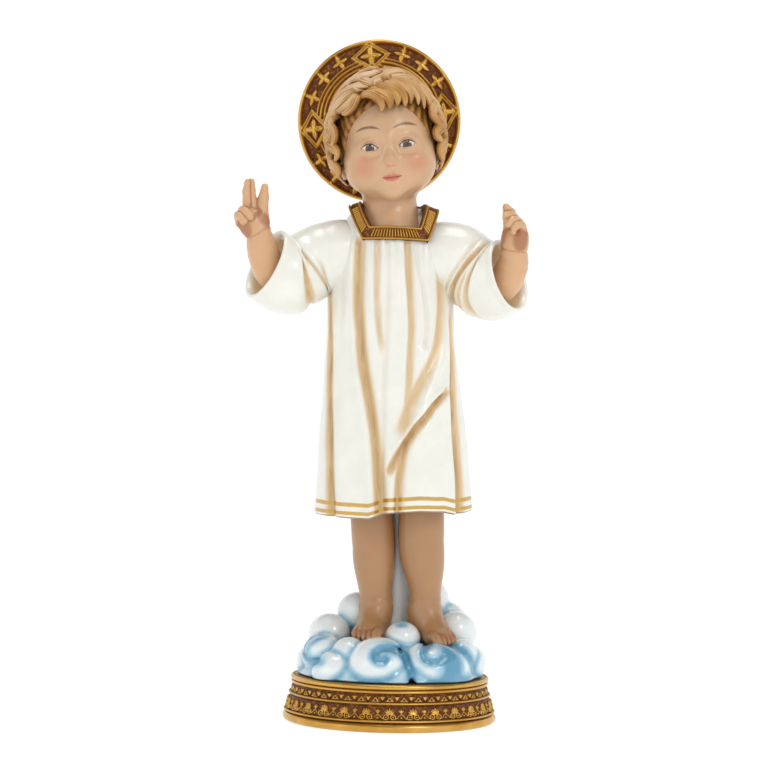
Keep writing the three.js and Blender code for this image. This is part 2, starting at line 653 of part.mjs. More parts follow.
// A place and outward direction on the hair at an azimuth and elevation in degrees
function onHair(azimuthDeg, elevationDeg, lift) {
  const azimuth = radians(azimuthDeg);
  const elevation = radians(elevationDeg);
  const level = Math.cos(elevation);
  const [across, forward] = [level * Math.sin(azimuth), -level * Math.cos(azimuth)];
  const normal = new THREE.Vector3(across, forward, Math.sin(elevation));
  const place = onHead(
    HAIR_SHIFT.x + (HAIR.x + lift) * normal.x,
    HAIR_SHIFT.y + (HAIR.y + lift) * normal.y,
    HAIR_SHIFT.z + (HAIR.z + lift) * normal.z,
  );
  return { place, normal: normal.applyQuaternion(headTurn) };
}

// The lie of the hair over the skull: ridged locks that run down from the crown and sway on the
// way, sunk into the head where the face shows and under the nape
function hairLift(azimuthDeg, elevationDeg) {
  const sway = 16 * Math.sin(radians(elevationDeg * 4.5 + azimuthDeg * 0.8));
  const strand = Math.cos(radians((azimuthDeg + sway) * 8));
  const full = Math.min(Math.cos(radians(elevationDeg)) * 1.5, 1);
  const aside = Math.abs(azimuthDeg > 180 ? azimuthDeg - 360 : azimuthDeg);
  const above = elevationDeg - FACE_OPENING.middle;
  const opening = Math.hypot(aside / FACE_OPENING.aside, above / FACE_OPENING.tall);
  const behind = Math.max(-Math.cos(radians(azimuthDeg)), 0);
  const lowest = THREE.MathUtils.lerp(HAIR_ENDS.ears, HAIR_ENDS.nape, behind);
  return opening < 1 || elevationDeg < lowest ? -HAIR_SUNK : HAIR_RELIEF * full * strand;
}

// A wavy lock from one place on the hair to another
function lock(from, to, wide, wave) {
  return ribbon([0, 0.33, 0.66, 1].map((t) => {
    const full = Math.sin((0.12 + 0.78 * t) * Math.PI);
    const azimuth = from[0] + (to[0] - from[0]) * t + wave * Math.sin(t * 2 * Math.PI);
    const elevation = from[1] + (to[1] - from[1]) * t;
    return { ...onHair(azimuth, elevation, full), wide: wide * full, deep: wide * 0.65 * full };
  }), 5);
}

// Short wavy hair: a cap of locks open over the face, a swept fringe and curls at both sides
function hair() {
  const elevations = [-50, -36, -21, -6, 8, 22, 37, 55, 76];
  const azimuths = turnsOf(24).map((angle) => THREE.MathUtils.radToDeg(angle));
  const cap = loft(elevations.map((e) => azimuths.map((azimuth) => (
    onHair(azimuth, e, hairLift(azimuth, e)).place))));
  const fringe = [-32, -15, 2, 19, 35].map((end, n) => (
    lock([end * 0.5 - 12, 58], [end, 23 + 4 * Math.cos(n * 1.7)], 4.6, 6)));
  const curls = [-1, 1].flatMap((side) => [
    lock([side * 50, 32], [side * 57, 2], 4.4, side * 8),
    lock([side * 62, 6], [side * 64, -20], 4.2, side * -7),
  ]);
  return fuse([cap, ...fringe, ...curls]);
}

// The flat gilt band round the neck opening
function neckline() {
  const loop = new THREE.CatmullRomCurve3(NECKLINE.map(vector), true, 'catmullrom', 0.12);
  const centre = new THREE.Vector3(-3.8, 0, 204);
  const steps = 16;
  const half = NECKLINE_WIDTH / 2;
  const [low, high] = [-NECKLINE_SUNK, NECKLINE_PROUD];
  const corners = [[-half, low], [half, low], [half, high], [-half, high]];
  return solidOf(new LoftGeometry(Array.from({ length: steps + 1 }, (_, i) => {
    const place = loop.getPoint((i % steps) / steps);
    const tangent = loop.getTangent((i % steps) / steps);
    const outward = place.clone().sub(centre);
    outward.addScaledVector(tangent, -outward.dot(tangent)).normalize();
    const across = tangent.clone().cross(outward).normalize();
    return corners.map(([a, b]) => place.clone().addScaledVector(across, a).addScaledVector(outward, b));
  })));
}

// A groove that winds in on a puff's surface
function scrollGroove({ puff, hand: turning, start, turns, reach, toward }) {
  const [x, y, z, radius] = PUFFS[puff];
  const facing = vector(toward).normalize();
  const turn = new THREE.Quaternion().setFromUnitVectors(new THREE.Vector3(0, 0, 1), facing);
  const steps = Math.ceil(turns * 6);
  return ribbon(Array.from({ length: steps + 1 }, (_, i) => {
    const t = i / steps;
    const angle = radians(start) + turning * t * turns * 2 * Math.PI;
    const open = radians(78) * reach * (1 - t) ** 0.8 + radians(8);
    const rim = Math.sin(open);
    const normal = new THREE.Vector3(rim * Math.cos(angle), rim * Math.sin(angle), Math.cos(open))
      .applyQuaternion(turn);
    const place = new THREE.Vector3(x, y, z).addScaledVector(normal, radius);
    return { place, normal, wide: SCROLL_GROOVE * (1.2 - 0.4 * t), deep: SCROLL_GROOVE * (1.1 - 0.3 * t) };
  }), 4);
}

// The bank of clouds, flat underneath, with the post that rises to the tunic behind the legs
function cloud() {
  const underside = PLINTH_HEIGHT + PIECE_GAP;
  const mound = turned(MOUND, 20).translate(0, 0, underside);
  const puffs = PUFFS.map(([x, y, z, radius]) => (
    solidOf(new THREE.IcosahedronGeometry(radius * PUFF_SWELL, radius > 14 && y < 0 ? 2 : 1)
      .rotateX(0.3).translate(x, y, z))));
  const post = column(POST, [30, 60, 99], 9);
  const below = new THREE.BoxGeometry(120, 120, 40).translate(0, 0, underside - 20);
  return cut(fuse([solidOf(mound), ...puffs]), [...SCROLLS.map(scrollGroove), solidOf(below)]).add(post);
}

// The space the halo takes up behind the head, with the gap round it
function haloRoom() {
  const reach = 40;
  const outside = HALO_RADIUS + PIECE_GAP;
  const room = (radius, front) => solidOf(
    new THREE.CylinderGeometry(radius, radius, reach, DISC_SIDES)
      .translate(HALO_CENTRE.x, HALO_CENTRE.y + front + reach / 2, HALO_CENTRE.z));
  return [
    room(HALO_DISH_RADIUS, HALO_DISH_DEPTH - PIECE_GAP),
    cut(room(outside, -HALO_PROUD - PIECE_GAP), [room(HALO_DISH_RADIUS, -2 * HALO_PROUD)]),
  ];
}

// The casting of child and cloud, hollowed behind the head where the halo lies
function childFigure() {
  const legHeights = [38, 50, 58, 68, 80, 99];
  return cut(fuse([
    tunic(),
    sleeve(RIGHT_SLEEVE, RIGHT_CREASES),
    sleeve(LEFT_SLEEVE, LEFT_CREASES),
    neckline(),
    ...HANDS.map(hand),
    column(RIGHT_LEG, legHeights, 10),
    column(LEFT_LEG, legHeights, 10),
    ...FEET.map(foot),
    head(),
    hair(),
    cloud(),
  ]), haloRoom());
}

// A four-armed boss pointing to +Z: a star when its waist is slim, a flower when it is full
function boss(radius, height, waist) {
  const geometry = new THREE.ConeGeometry(radius, height, 8).rotateX(Math.PI / 2);
  const at = geometry.attributes.position;
  for (let i = 0; i < at.count; i++) {
    const [x, y] = [at.getX(i), at.getY(i)];
    const arm = Math.round(Math.atan2(y, x) / (Math.PI / 4)) % 2 === 0;
    at.setXY(i, x * (arm ? 1 : waist), y * (arm ? 1 : waist));
  }
  return geometry;
}

// A lozenge frame on the border with a four-petalled flower inside it
function lozenge(angle) {
  const { distance, long, wide, frame, height, flower } = LOZENGE;
  const outline = (grow) => [[1, 0], [0, 1], [-1, 0], [0, -1]]
    .map(([x, y]) => new THREE.Vector2(x * (long + grow), y * (wide + grow)));
  const shape = new THREE.Shape(outline(0));
  shape.holes.push(new THREE.Path(outline(-frame)));
  const place = (geometry) => solidOf(geometry.rotateZ(angle)
    .translate(distance * Math.cos(angle), distance * Math.sin(angle), 0));
  const rim = new THREE.ExtrudeGeometry(shape, { depth: height, bevelEnabled: false })
    .translate(0, 0, -1);
  return [place(rim), place(boss(flower, height, 0.4).translate(0, 0, 0.9))];
}

// The halo: a dished disc with a rim and two ridges, stars in its border and a lozenge with a
// four-petalled flower in each quarter
function halo() {
  const parts = [solidOf(turned(HALO_SECTION, DISC_SIDES))];
  for (let quarter = 0; quarter < 4; quarter++) {
    for (const step of [-1, 0, 1]) {
      const angle = radians(90 * quarter + 45 + step * STAR.apartDeg);
      const place = [STAR.distance * Math.cos(angle), STAR.distance * Math.sin(angle), STAR.lift];
      const star = boss(STAR.radius, STAR.height, STAR.waist).rotateZ(angle);
      parts.push(solidOf(star.translate(...place)));
    }
    parts.push(...lozenge(radians(90 * quarter)));
  }
  return fuse(parts).transform(new THREE.Matrix4()
    .makeTranslation(...HALO_CENTRE)
    .multiply(new THREE.Matrix4().makeRotationX(Math.PI / 2))
    .multiply(new THREE.Matrix4().makeRotationZ(radians(HALO_TURN_DEG))).toArray());
}

// One of a ring of small pointed ornaments at the front of the plinth, its tip up or down
function ornament({ wide, tall, flat, distance, height }, sides, turn) {
  return new THREE.ConeGeometry(wide, tall, sides).scale(1, 1, flat).rotateX(turn)
    .translate(0, -distance, height);
}

// The plinth: stacked round mouldings, a band of small pendants and a band of leaves
function plinth() {
  const ring = (count, make) => turnsOf(count).map((angle) => solidOf(make().rotateZ(angle)));
  return fuse([
    solidOf(turned(PLINTH_SECTION, DISC_SIDES)),
    ...ring(LEAF.count, () => ornament(LEAF, 4, Math.PI / 2 - LEAF.leanBack)),
    ...ring(PENDANT.count, () => ornament(PENDANT, 3, -Math.PI / 2)),
  ]);
}

const creamPaint = new THREE.MeshStandardMaterial({ color: 0xe9e4d8, roughness: 0.35, metalness: 0 });
const antiqueGold = new THREE.MeshStandardMaterial({ color: 0xa5772b, roughness: 0.38, metalness: 0.85 });

const statuette = new THREE.Group();
statuette.add(
  meshOf('child_figure', childFigure(), creamPaint),
  meshOf('halo', halo(), antiqueGold),
  meshOf('plinth', plinth(), antiqueGold),
);

export default statuette;
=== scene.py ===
import math

import bpy
import numpy as np
from mathutils import Matrix, Vector


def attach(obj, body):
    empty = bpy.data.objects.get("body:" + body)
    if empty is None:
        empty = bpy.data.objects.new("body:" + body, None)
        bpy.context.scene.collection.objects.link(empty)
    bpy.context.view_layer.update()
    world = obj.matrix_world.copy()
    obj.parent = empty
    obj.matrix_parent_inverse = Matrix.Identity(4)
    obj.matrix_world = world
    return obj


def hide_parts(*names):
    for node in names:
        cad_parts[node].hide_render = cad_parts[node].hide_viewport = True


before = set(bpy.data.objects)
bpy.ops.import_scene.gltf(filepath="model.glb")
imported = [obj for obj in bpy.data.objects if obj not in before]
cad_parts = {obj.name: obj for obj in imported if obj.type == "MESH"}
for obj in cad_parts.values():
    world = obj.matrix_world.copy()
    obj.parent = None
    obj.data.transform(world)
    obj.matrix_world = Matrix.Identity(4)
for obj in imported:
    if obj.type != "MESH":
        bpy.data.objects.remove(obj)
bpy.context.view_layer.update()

# Everything is worked out in millimetres in the row frame and becomes metres in the mesh.
# +Z is up, the child faces -Y, its left hand is at +X.
MM = 0.001
COARSE = 1.0

HEAD_CENTRE = np.array([-5.6, -3.0, 253.5])
HEAD_TILT = math.radians(-7.5)
HALO_CENTRE = np.array([-9.4, 22.5, 264.8])
HALO_TURN = math.radians(8.5)
CLOUD_FOOT = 20.3
COLLAR_MIDDLE = np.array([-3.8, 0.0, 204.0])


# Plain sums

def ease(value, low, high):
    t = np.clip((value - low) / (high - low), 0.0, 1.0)
    return t * t * (3 - 2 * t)


def bell(s):
    return np.exp(-s * s)


def unit(v):
    v = np.asarray(v, float)
    return v / np.maximum(np.linalg.norm(v, axis=-1, keepdims=True), 1e-9)


def glide(rows, at):
    """Smooth reading of rows that start with their position."""
    rows = np.asarray(rows, float)
    at = np.asarray(at, float)
    place = rows[:, 0]
    i = np.clip(np.searchsorted(place, at, side="right") - 1, 0, len(rows) - 2)
    span = place[i + 1] - place[i]
    t = np.clip((at - place[i]) / span, 0, 1)[..., None]
    before, after = np.maximum(i - 1, 0), np.minimum(i + 2, len(rows) - 1)
    here, there = rows[i, 1:], rows[i + 1, 1:]
    slope0 = (there - rows[before, 1:]) / (place[i + 1] - place[before])[..., None]
    slope1 = (rows[after, 1:] - here) / (place[after] - place[i])[..., None]
    t2, t3 = t * t, t * t * t
    return ((2 * t3 - 3 * t2 + 1) * here + (3 * t2 - 2 * t3) * there
            + span[..., None] * ((t3 - 2 * t2 + t) * slope0 + (t3 - t2) * slope1))


def curve_through(points, steps):
    """Points on a smooth curve through a few, as many as steps + 1."""
    points = np.asarray(points, float)
    rows = np.column_stack([np.arange(len(points)), points])
    return glide(rows, np.linspace(0, len(points) - 1, steps + 1))


def turned_about(axis, angle):
    return np.array(Matrix.Rotation(angle, 3, Vector(axis)))


HEAD_TURN = turned_about((0, 1, 0), HEAD_TILT)


def from_head(points):
    """Points in the head's own upright millimetres, brought to their place."""
    return np.asarray(points) @ HEAD_TURN.T + HEAD_CENTRE


# Meshes

def mesh_piece(name, points, quads, triangles=(), marks=None):
    """A named object from corners in mm, with smooth faces and its painted marks."""
    points = np.asarray(points, float)
    quads = np.asarray(quads, np.int32).reshape(-1, 4)
    triangles = np.asarray(triangles, np.int32).reshape(-1, 3)
    sides = points[quads[:, 2]] - points[quads[:, 0]]
    across = points[quads[:, 3]] - points[quads[:, 1]]
    volume = np.einsum("ij,ij->", points[quads].mean(axis=1), np.cross(sides, across) / 2)
    if len(triangles):
        a, b, c = (points[triangles[:, k]] for k in range(3))
        volume += np.einsum("ij,ij->", (a + b + c) / 3, np.cross(b - a, c - a) / 2)
    if volume < 0:
        quads, triangles = quads[:, ::-1], triangles[:, ::-1]
    mesh = bpy.data.meshes.new(name)
    mesh.vertices.add(len(points))
    mesh.vertices.foreach_set("co", (points * MM).astype(np.float32).ravel())
    corners = np.concatenate([quads.ravel(), triangles.ravel()]).astype(np.int32)
    starts = np.concatenate([np.arange(len(quads)) * 4,
                             quads.size + np.arange(len(triangles)) * 3]).astype(np.int32)
    mesh.loops.add(len(corners))
    mesh.loops.foreach_set("vertex_index", corners)
    mesh.polygons.add(len(starts))
    mesh.polygons.foreach_set("loop_start", starts)
    mesh.update(calc_edges=True)
    mesh.shade_smooth()
    for label, values in (marks or {}).items():
        values = np.asarray(values, np.float32)
        kind = "FLOAT_VECTOR" if values.ndim == 2 else "FLOAT"
        attribute = mesh.attributes.new(label, kind, "POINT")
        attribute.data.foreach_set("vector" if values.ndim == 2 else "value", values.ravel())
    obj = bpy.data.objects.new(name, mesh)
    bpy.context.scene.collection.objects.link(obj)
    return obj


def skin_of_rings(rings, caps=(True, True)):
    """Corners and faces of rings of points, each wanted end closed by a fan to its middle."""
    rings = np.asarray(rings, float)
    count, around = rings.shape[:2]
    number = np.arange(count * around).reshape(count, around)
    nxt = np.roll(number, -1, axis=1)
    quads = np.stack([number[:-1], nxt[:-1], nxt[1:], number[1:]], axis=-1).reshape(-1, 4)
    points = rings.reshape(-1, rings.shape[2])
    triangles = []
    for end, wanted in zip((0, -1), caps):
        if wanted:
            middle = len(points)
            points = np.vstack([points, rings[end].mean(axis=0)])
            ring = number[end]
            fan = np.stack([ring, np.roll(ring, -1), np.full(around, middle)], axis=-1)
            triangles.append(fan[:, ::-1] if end == 0 else fan)
    triangles = np.vstack(triangles) if triangles else np.zeros((0, 3), int)
    return points, quads, triangles


def with_caps(values, caps=2):
    """Marks of a ring mesh with the two middle corners' values added."""
    values = np.asarray(values, float)
    flat = values.reshape(-1)
    ends = [values[0].mean(), values[-1].mean()][:caps]
    return np.concatenate([flat, ends])


# Modelling clay

EDGES = [(a, b) for a in range(8) for b in range(a + 1, 8) if bin(a ^ b).count("1") == 1]
CORNERS = np.array([[(n >> k) & 1 for k in range(3)] for n in range(8)])


class Clay:
    """A block of clay as distances on a grid: shapes are pressed on with a soft joint, and
    where two meet the crease between them is remembered for the paint: brown painted shade on
    the skin, partly the statue's wash, and blue paint on the cloud."""

    def __init__(self, low, high, pitch):
        self.low = np.asarray(low, float)
        self.pitch = pitch * COARSE
        counts = np.ceil((np.asarray(high) - self.low) / self.pitch).astype(int) + 1
        self.axes = [(self.low[k] + self.pitch * np.arange(counts[k])).astype(np.float32)
                     for k in range(3)]
        self.field = np.full(counts, 50.0, np.float32)
        self.crease = np.zeros(counts, np.float32)

    def window(self, low, high, margin):
        parts = []
        for k in range(3):
            start = np.searchsorted(self.axes[k], low[k] - margin)
            stop = np.searchsorted(self.axes[k], high[k] + margin, side="right")
            parts.append(slice(max(start, 0), max(stop, 1)))
        x, y, z = (self.axes[k][parts[k]] for k in range(3))
        return tuple(parts), x[:, None, None], y[None, :, None], z[None, None, :]

    def add(self, shape, soft=1.0, mark=True):
        distance, low, high = shape
        part, x, y, z = self.window(low, high, soft + 3 * self.pitch)
        new, old = distance(x, y, z), self.field[part]
        near = np.clip(1 - np.abs(old - new) / soft, 0, 1)
        both = np.minimum(old, new) - near * near * soft / 4
        if mark:
            close = near * np.exp(-(both / 1.2) ** 2)
            self.crease[part] = np.maximum(self.crease[part], close)
        self.field[part] = both
        return self

    def cut(self, shape, soft=0.5):
        distance, low, high = shape
        part, x, y, z = self.window(low, high, soft + 3 * self.pitch)
        new, old = -distance(x, y, z), self.field[part]
        near = np.clip(1 - np.abs(old - new) / soft, 0, 1)
        self.field[part] = np.maximum(old, new) + near * near * soft / 4
        return self

    def push(self, amount, low, high, crease=None):
        """Presses the skin in by an amount worked out for every place."""
        part, x, y, z = self.window(low, high, 0)
        self.field[part] += amount(x, y, z)
        if crease is not None:
            self.crease[part] = np.maximum(self.crease[part], crease(x, y, z))
        return self

    def skin(self):
        """Corners, quads and crease marks of the clay's skin."""
        field = self.field
        for axis in range(3):
            for end in (0, -1):
                wall = tuple(end if k == axis else slice(None) for k in range(3))
                field[wall] = np.maximum(field[wall], self.pitch / 2)
        inside = (field < 0).astype(np.int8)
        total = sum(inside[i:inside.shape[0] - 1 + i, j:inside.shape[1] - 1 + j,
                           k:inside.shape[2] - 1 + k] for i, j, k in CORNERS)
        active = (total > 0) & (total < 8)
        cells = np.argwhere(active)
        number = np.full(active.shape, -1, np.int32)
        number[active] = np.arange(len(cells))
        at = cells[:, None, :] + CORNERS[None]
        values = field[at[..., 0], at[..., 1], at[..., 2]]
        total = np.zeros((len(cells), 3))
        count = np.zeros(len(cells))
        for a, b in EDGES:
            crossing = (values[:, a] < 0) != (values[:, b] < 0)
            gap = np.where(crossing, values[:, a] - values[:, b], 1)
            t = np.where(crossing, values[:, a] / gap, 0)
            spot = CORNERS[a] + t[:, None] * (CORNERS[b] - CORNERS[a])
            total += spot * crossing[:, None]
            count += crossing
        inner = total / count[:, None]
        points = self.low + self.pitch * (cells + inner)
        quads = []
        for axis in range(3):
            one, two = (axis + 1) % 3, (axis + 2) % 3
            lower = np.take(inside, range(inside.shape[axis] - 1), axis)
            upper = np.take(inside, range(1, inside.shape[axis]), axis)
            edges = np.argwhere(lower != upper)
            edges = edges[(edges[:, one] > 0) & (edges[:, two] > 0)
                          & (edges[:, one] < inside.shape[one] - 1)
                          & (edges[:, two] < inside.shape[two] - 1)]
            loop = []
            for p, q in ((1, 1), (0, 1), (0, 0), (1, 0)):
                cell = edges.copy()
                cell[:, one] -= p
                cell[:, two] -= q
                loop.append(number[cell[:, 0], cell[:, 1], cell[:, 2]])
            loop = np.stack(loop, axis=1)
            out = inside[edges[:, 0], edges[:, 1], edges[:, 2]] == 1
            quads.append(np.where(out[:, None], loop, loop[:, ::-1]))
        weight = np.ones((len(cells), 8))
        for k in range(3):
            share = np.where(CORNERS[None, :, k] == 1, inner[:, None, k], 1 - inner[:, None, k])
            weight *= share
        crease = (self.crease[at[..., 0], at[..., 1], at[..., 2]] * weight).sum(axis=1)
        return points, np.vstack(quads), crease


def relaxed(points, quads, rounds, share=0.5):
    """Corners drawn towards their neighbours' middle, a few times."""
    points = points.copy()
    ends = np.concatenate([quads, np.roll(quads, -1, axis=1)]).reshape(2, -1)
    count = np.bincount(ends[0], minlength=len(points)) + np.bincount(ends[1], minlength=len(points))
    for _ in range(rounds):
        total = np.stack([np.bincount(ends[0], points[ends[1], k], len(points))
                          + np.bincount(ends[1], points[ends[0], k], len(points))
                          for k in range(3)], axis=1)
        points += share * (total / count[:, None] - points)
    return points


def ball(centre, radius):
    c = np.asarray(centre, float)
    def distance(x, y, z):
        return np.sqrt((x - c[0]) ** 2 + (y - c[1]) ** 2 + (z - c[2]) ** 2) - radius
    return distance, c - radius, c + radius


def egg(centre, radii, turn=None):
    """A rounded body of three half widths, turned by a matrix if one is given."""
    c, r = np.asarray(centre, float), np.asarray(radii, float)
    reach = r if turn is None else np.sqrt(((turn * r) ** 2).sum(axis=1))
    def distance(x, y, z):
        x, y, z = x - c[0], y - c[1], z - c[2]
        if turn is not None:
            x, y, z = (turn[0][k] * x + turn[1][k] * y + turn[2][k] * z for k in range(3))
        near = np.sqrt((x / r[0]) ** 2 + (y / r[1]) ** 2 + (z / r[2]) ** 2)
        slope = np.sqrt((x / r[0] ** 2) ** 2 + (y / r[1] ** 2) ** 2 + (z / r[2] ** 2) ** 2)
        return near * (near - 1) / np.maximum(slope, 1e-6)
    return distance, c - reach, c + reach


def rod(points, radii):
    """A round bar through points, its radius changing from point to point."""
    points = np.asarray(points, float)
    radii = np.broadcast_to(np.asarray(radii, float), len(points))
    def distance(x, y, z):
        best = None
        for a, b, ra, rb in zip(points[:-1], points[1:], radii[:-1], radii[1:]):
            d = b - a
            t = ((x - a[0]) * d[0] + (y - a[1]) * d[1] + (z - a[2]) * d[2]) / max(d @ d, 1e-9)
            t = np.clip(t, 0, 1)
            here = np.sqrt((x - a[0] - t * d[0]) ** 2 + (y - a[1] - t * d[1]) ** 2
                           + (z - a[2] - t * d[2]) ** 2) - (ra + (rb - ra) * t)
            best = here if best is None else np.minimum(best, here)
        return best
    reach = radii.max()
    return distance, points.min(axis=0) - reach, points.max(axis=0) + reach


def column(rows):
    """A body of level oval sections, from rows of height, centre x and y, half widths."""
    rows = np.asarray(rows, float)
    low = [(rows[:, 1] - rows[:, 3]).min(), (rows[:, 2] - rows[:, 4]).min(), rows[0, 0]]
    high = [(rows[:, 1] + rows[:, 3]).max(), (rows[:, 2] + rows[:, 4]).max(), rows[-1, 0]]
    def distance(x, y, z):
        cx, cy, half, deep = np.moveaxis(glide(rows, z.ravel()), -1, 0).reshape(4, 1, 1, -1)
        level = np.sqrt(((x - cx) / half) ** 2 + ((y - cy) / deep) ** 2)
        side = (level - 1) * np.minimum(half, deep)
        ends = np.maximum(rows[0, 0] - z, z - rows[-1, 0])
        return np.maximum(side, ends)
    return distance, np.array(low), np.array(high)


def box(low, high):
    """A block with sharp edges."""
    middle = (np.asarray(low, float) + np.asarray(high, float)) / 2
    half = (np.asarray(high, float) - np.asarray(low, float)) / 2
    def distance(x, y, z):
        return np.maximum(np.maximum(np.abs(x - middle[0]) - half[0],
                                     np.abs(y - middle[1]) - half[1]),
                          np.abs(z - middle[2]) - half[2])
    return distance, np.asarray(low, float), np.asarray(high, float)


def to_line(points, u, v):
    """Distance in a plane from each place to a line of points, and the share along it."""
    points = np.asarray(points, float)
    best, share = None, None
    last = len(points) - 1
    for n, (a, b) in enumerate(zip(points[:-1], points[1:])):
        d = b - a
        t = np.clip(((u - a[0]) * d[0] + (v - a[1]) * d[1]) / max(d @ d, 1e-9), 0, 1)
        here = np.hypot(u - a[0] - t * d[0], v - a[1] - t * d[1])
        along = (n + t) / last
        if best is None:
            best, share = here, along
        else:
            share = np.where(here < best, along, share)
            best = np.minimum(best, here)
    return best, share


# The tunic

# Rows of height, centre x and y, half width and half depth, from the hem to the neck
TUNIC = [
    (88, 0.4, 0, 34.7, 26.7), (110, 0, 0, 33.2, 25.4), (125, -0.6, 0, 31.8, 24.4),
    (145, -1.5, 0, 29.8, 22.6), (165, -2.5, 0, 28, 20.8), (185, -3, 0, 27.2, 19.6),
    (200, -3.3, 0, 26.4, 18.6), (212, -3.6, 0.5, 23.4, 16.2), (219, -3.9, 1, 19.2, 13.6),
    (224.5, -3.9, 1.5, 14.6, 11.4),
]
TUNIC_TOP = 224.5
# The wavy lower edge across the front, as x and height
HEM_LINE = [
    (-36, 90.6), (-27, 90.1), (-21, 89.8), (-10.4, 89.6), (-6.6, 91.0), (-4.5, 92.0), (1, 92.4),
    (11.5, 93.2), (22, 93.0), (27, 91.8), (31, 92.4), (36, 93.3),
]
GOLD_LINES = ((1.5, 0.9), (5.2, 1.0))
# Folds of the front: a line of height and x, the rise at its foot and its top, its width on
# the left and on the right, how much ochre lies in it (partly the statue's wash, partly
# painted shade of the fold), and how softly it starts and ends
FOLDS = [
    dict(line=[(88, -27.3), (130, -28.9), (159, -29.1), (184, -29.6)], rise=(-2.1, -1.2),
         wide=(2.2, 2.8), wash_and_shade=1.0, fade=(1, 12)),
    dict(line=[(90, -23), (120, -24), (150, -24.6)], rise=(0.7, 0.3), wide=(2.4, 4), wash_and_shade=0,
         fade=(1, 14)),
    dict(line=[(88, -8.4), (98.2, -8.8), (111.5, -10.2), (125.8, -12), (140, -14.2),
               (154.4, -16.6), (168.8, -17.6), (183, -19), (197.4, -19.6), (209, -19.4)],
         rise=(1.7, 1.0), wide=(3.2, 1.2), wash_and_shade=0, fade=(1, 4)),
    dict(line=[(88, -6.4), (92.5, -6.5), (106.8, -7.3), (121, -8.7), (137.3, -11.2),
               (154.5, -14.5), (168.8, -16), (183, -17.3), (197.4, -17.5), (209, -17.3)],
         rise=(-2.9, -1.5), wide=(1.2, 2.6), wash_and_shade=0.85, fade=(1, 4)),
    dict(line=[(164, -7.3), (172.7, -9.2), (183.2, -10.6), (194.7, -11), (209, -11)],
         rise=(0.7, 0.8), wide=(2, 0.8), wash_and_shade=0, fade=(7, 4)),
    dict(line=[(163, -6.6), (172.8, -8.2), (183.3, -9.1), (194.7, -9.5), (209, -9.6)],
         rise=(-1.1, -1.2), wide=(0.8, 1.8), wash_and_shade=0.45, fade=(7, 4)),
    dict(line=[(88, -4.1), (111.6, -5.2), (130.7, -5.3), (145, -5.1), (159.4, -4.7),
               (172.8, -4.2), (194.8, -3.9), (209, -4.5)],
         rise=(-1.5, -1.1), wide=(1.0, 1.3), wash_and_shade=0.16, fade=(1, 4)),
    dict(line=[(163, 4.2), (173, 4.4), (183.5, 3.6), (195, 2.6), (209, 1.8)], rise=(0.6, 0.9),
         wide=(2, 0.8), wash_and_shade=0, fade=(9, 4)),
    dict(line=[(139, 4.8), (145.3, 5.1), (159.6, 5.5), (173, 5.8), (183.5, 5.3), (195, 4.3),
               (209, 3.4)],
         rise=(-0.9, -1.4), wide=(0.9, 2.2), wash_and_shade=0.6, fade=(12, 4)),
    dict(line=[(165, 12.2), (168, 13.0), (175, 13.0), (185.6, 11.9), (195, 10), (208, 7.2)],
         rise=(-1.4, -1.0), wide=(1.0, 1.2), wash_and_shade=0.12, fade=(2.5, 4)),
    dict(line=[(158, 11.4), (162.5, 12.2)], rise=(0.6, 0.8), wide=(3, 3), wash_and_shade=0, fade=(3, 2)),
    dict(line=[(128, 2.7), (134.8, 5), (142.5, 7.7), (151.2, 12.3), (161.8, 16.9),
               (173.3, 18.6), (183.8, 19.3), (198, 18.3), (209, 17.3)],
         rise=(-1.2, -1.7), wide=(2.0, 2.8), wash_and_shade=0.62, fade=(8, 5)),
    dict(line=[(137, 11), (142.5, 13), (151, 17.4), (162, 21), (172, 22)], rise=(1.2, 0.6),
         wide=(2, 2), wash_and_shade=0, fade=(5, 10)),
    dict(line=[(112, -3), (117, -0.4), (120.4, 1.8), (125.2, 4.6), (131, 8.3), (135.9, 12),
               (141.7, 16.7), (146.5, 21.8)],
         rise=(1.1, 1.6), wide=(2.4, 1.0), wash_and_shade=0, fade=(4, 5)),
    dict(line=[(110, -2.2), (115.1, 0.2), (122.3, 4.4), (128.1, 8.1), (134, 12.8),
               (138.8, 16.5), (144.5, 21.5)],
         rise=(-1.7, -2.4), wide=(1.0, 2.2), wash_and_shade=1.0, fade=(4, 4)),
    dict(line=[(88, 1.5), (105.1, 1.7), (110.8, 2.4), (116.6, 3.2), (121.5, 4.2)],
         rise=(-2.4, -1.8), wide=(1.0, 2.2), wash_and_shade=0.75, fade=(1, 4)),
    dict(line=[(88, -0.9), (105, -0.6), (112, 0.4), (117, 1.4)], rise=(1.2, 0.5),
         wide=(1.8, 1.0), wash_and_shade=0, fade=(1, 4)),
    dict(line=[(88, 29), (93.2, 28.7), (107.5, 27.9), (119.9, 26.7), (131.3, 25.6),
               (145.7, 24.9), (160, 24.4), (175, 23.4)],
         rise=(-2.7, -1.6), wide=(1.4, 2.7), wash_and_shade=1.0, fade=(1, 12)),
    dict(line=[(88, 25.4), (104, 24.6), (120, 23.2), (136, 22.4)], rise=(1.1, 0.5),
         wide=(2.2, 1.6), wash_and_shade=0, fade=(1, 10)),
    dict(line=[(172, -24.2), (183, -24.1), (197.3, -23.9), (210, -23.4)], rise=(-0.5, -0.8),
         wide=(1.6, 2.2), wash_and_shade=0.12, fade=(10, 5)),
    dict(line=[(150, -22), (172, -21.6), (190, -21.8)], rise=(0.3, 0.5), wide=(1.6, 1.6),
         wash_and_shade=0, fade=(14, 10)),
]
TUNIC_AROUND = 300
TUNIC_UP = 172


def tunic_oval(height):
    return np.moveaxis(glide(TUNIC, height), -1, 0)


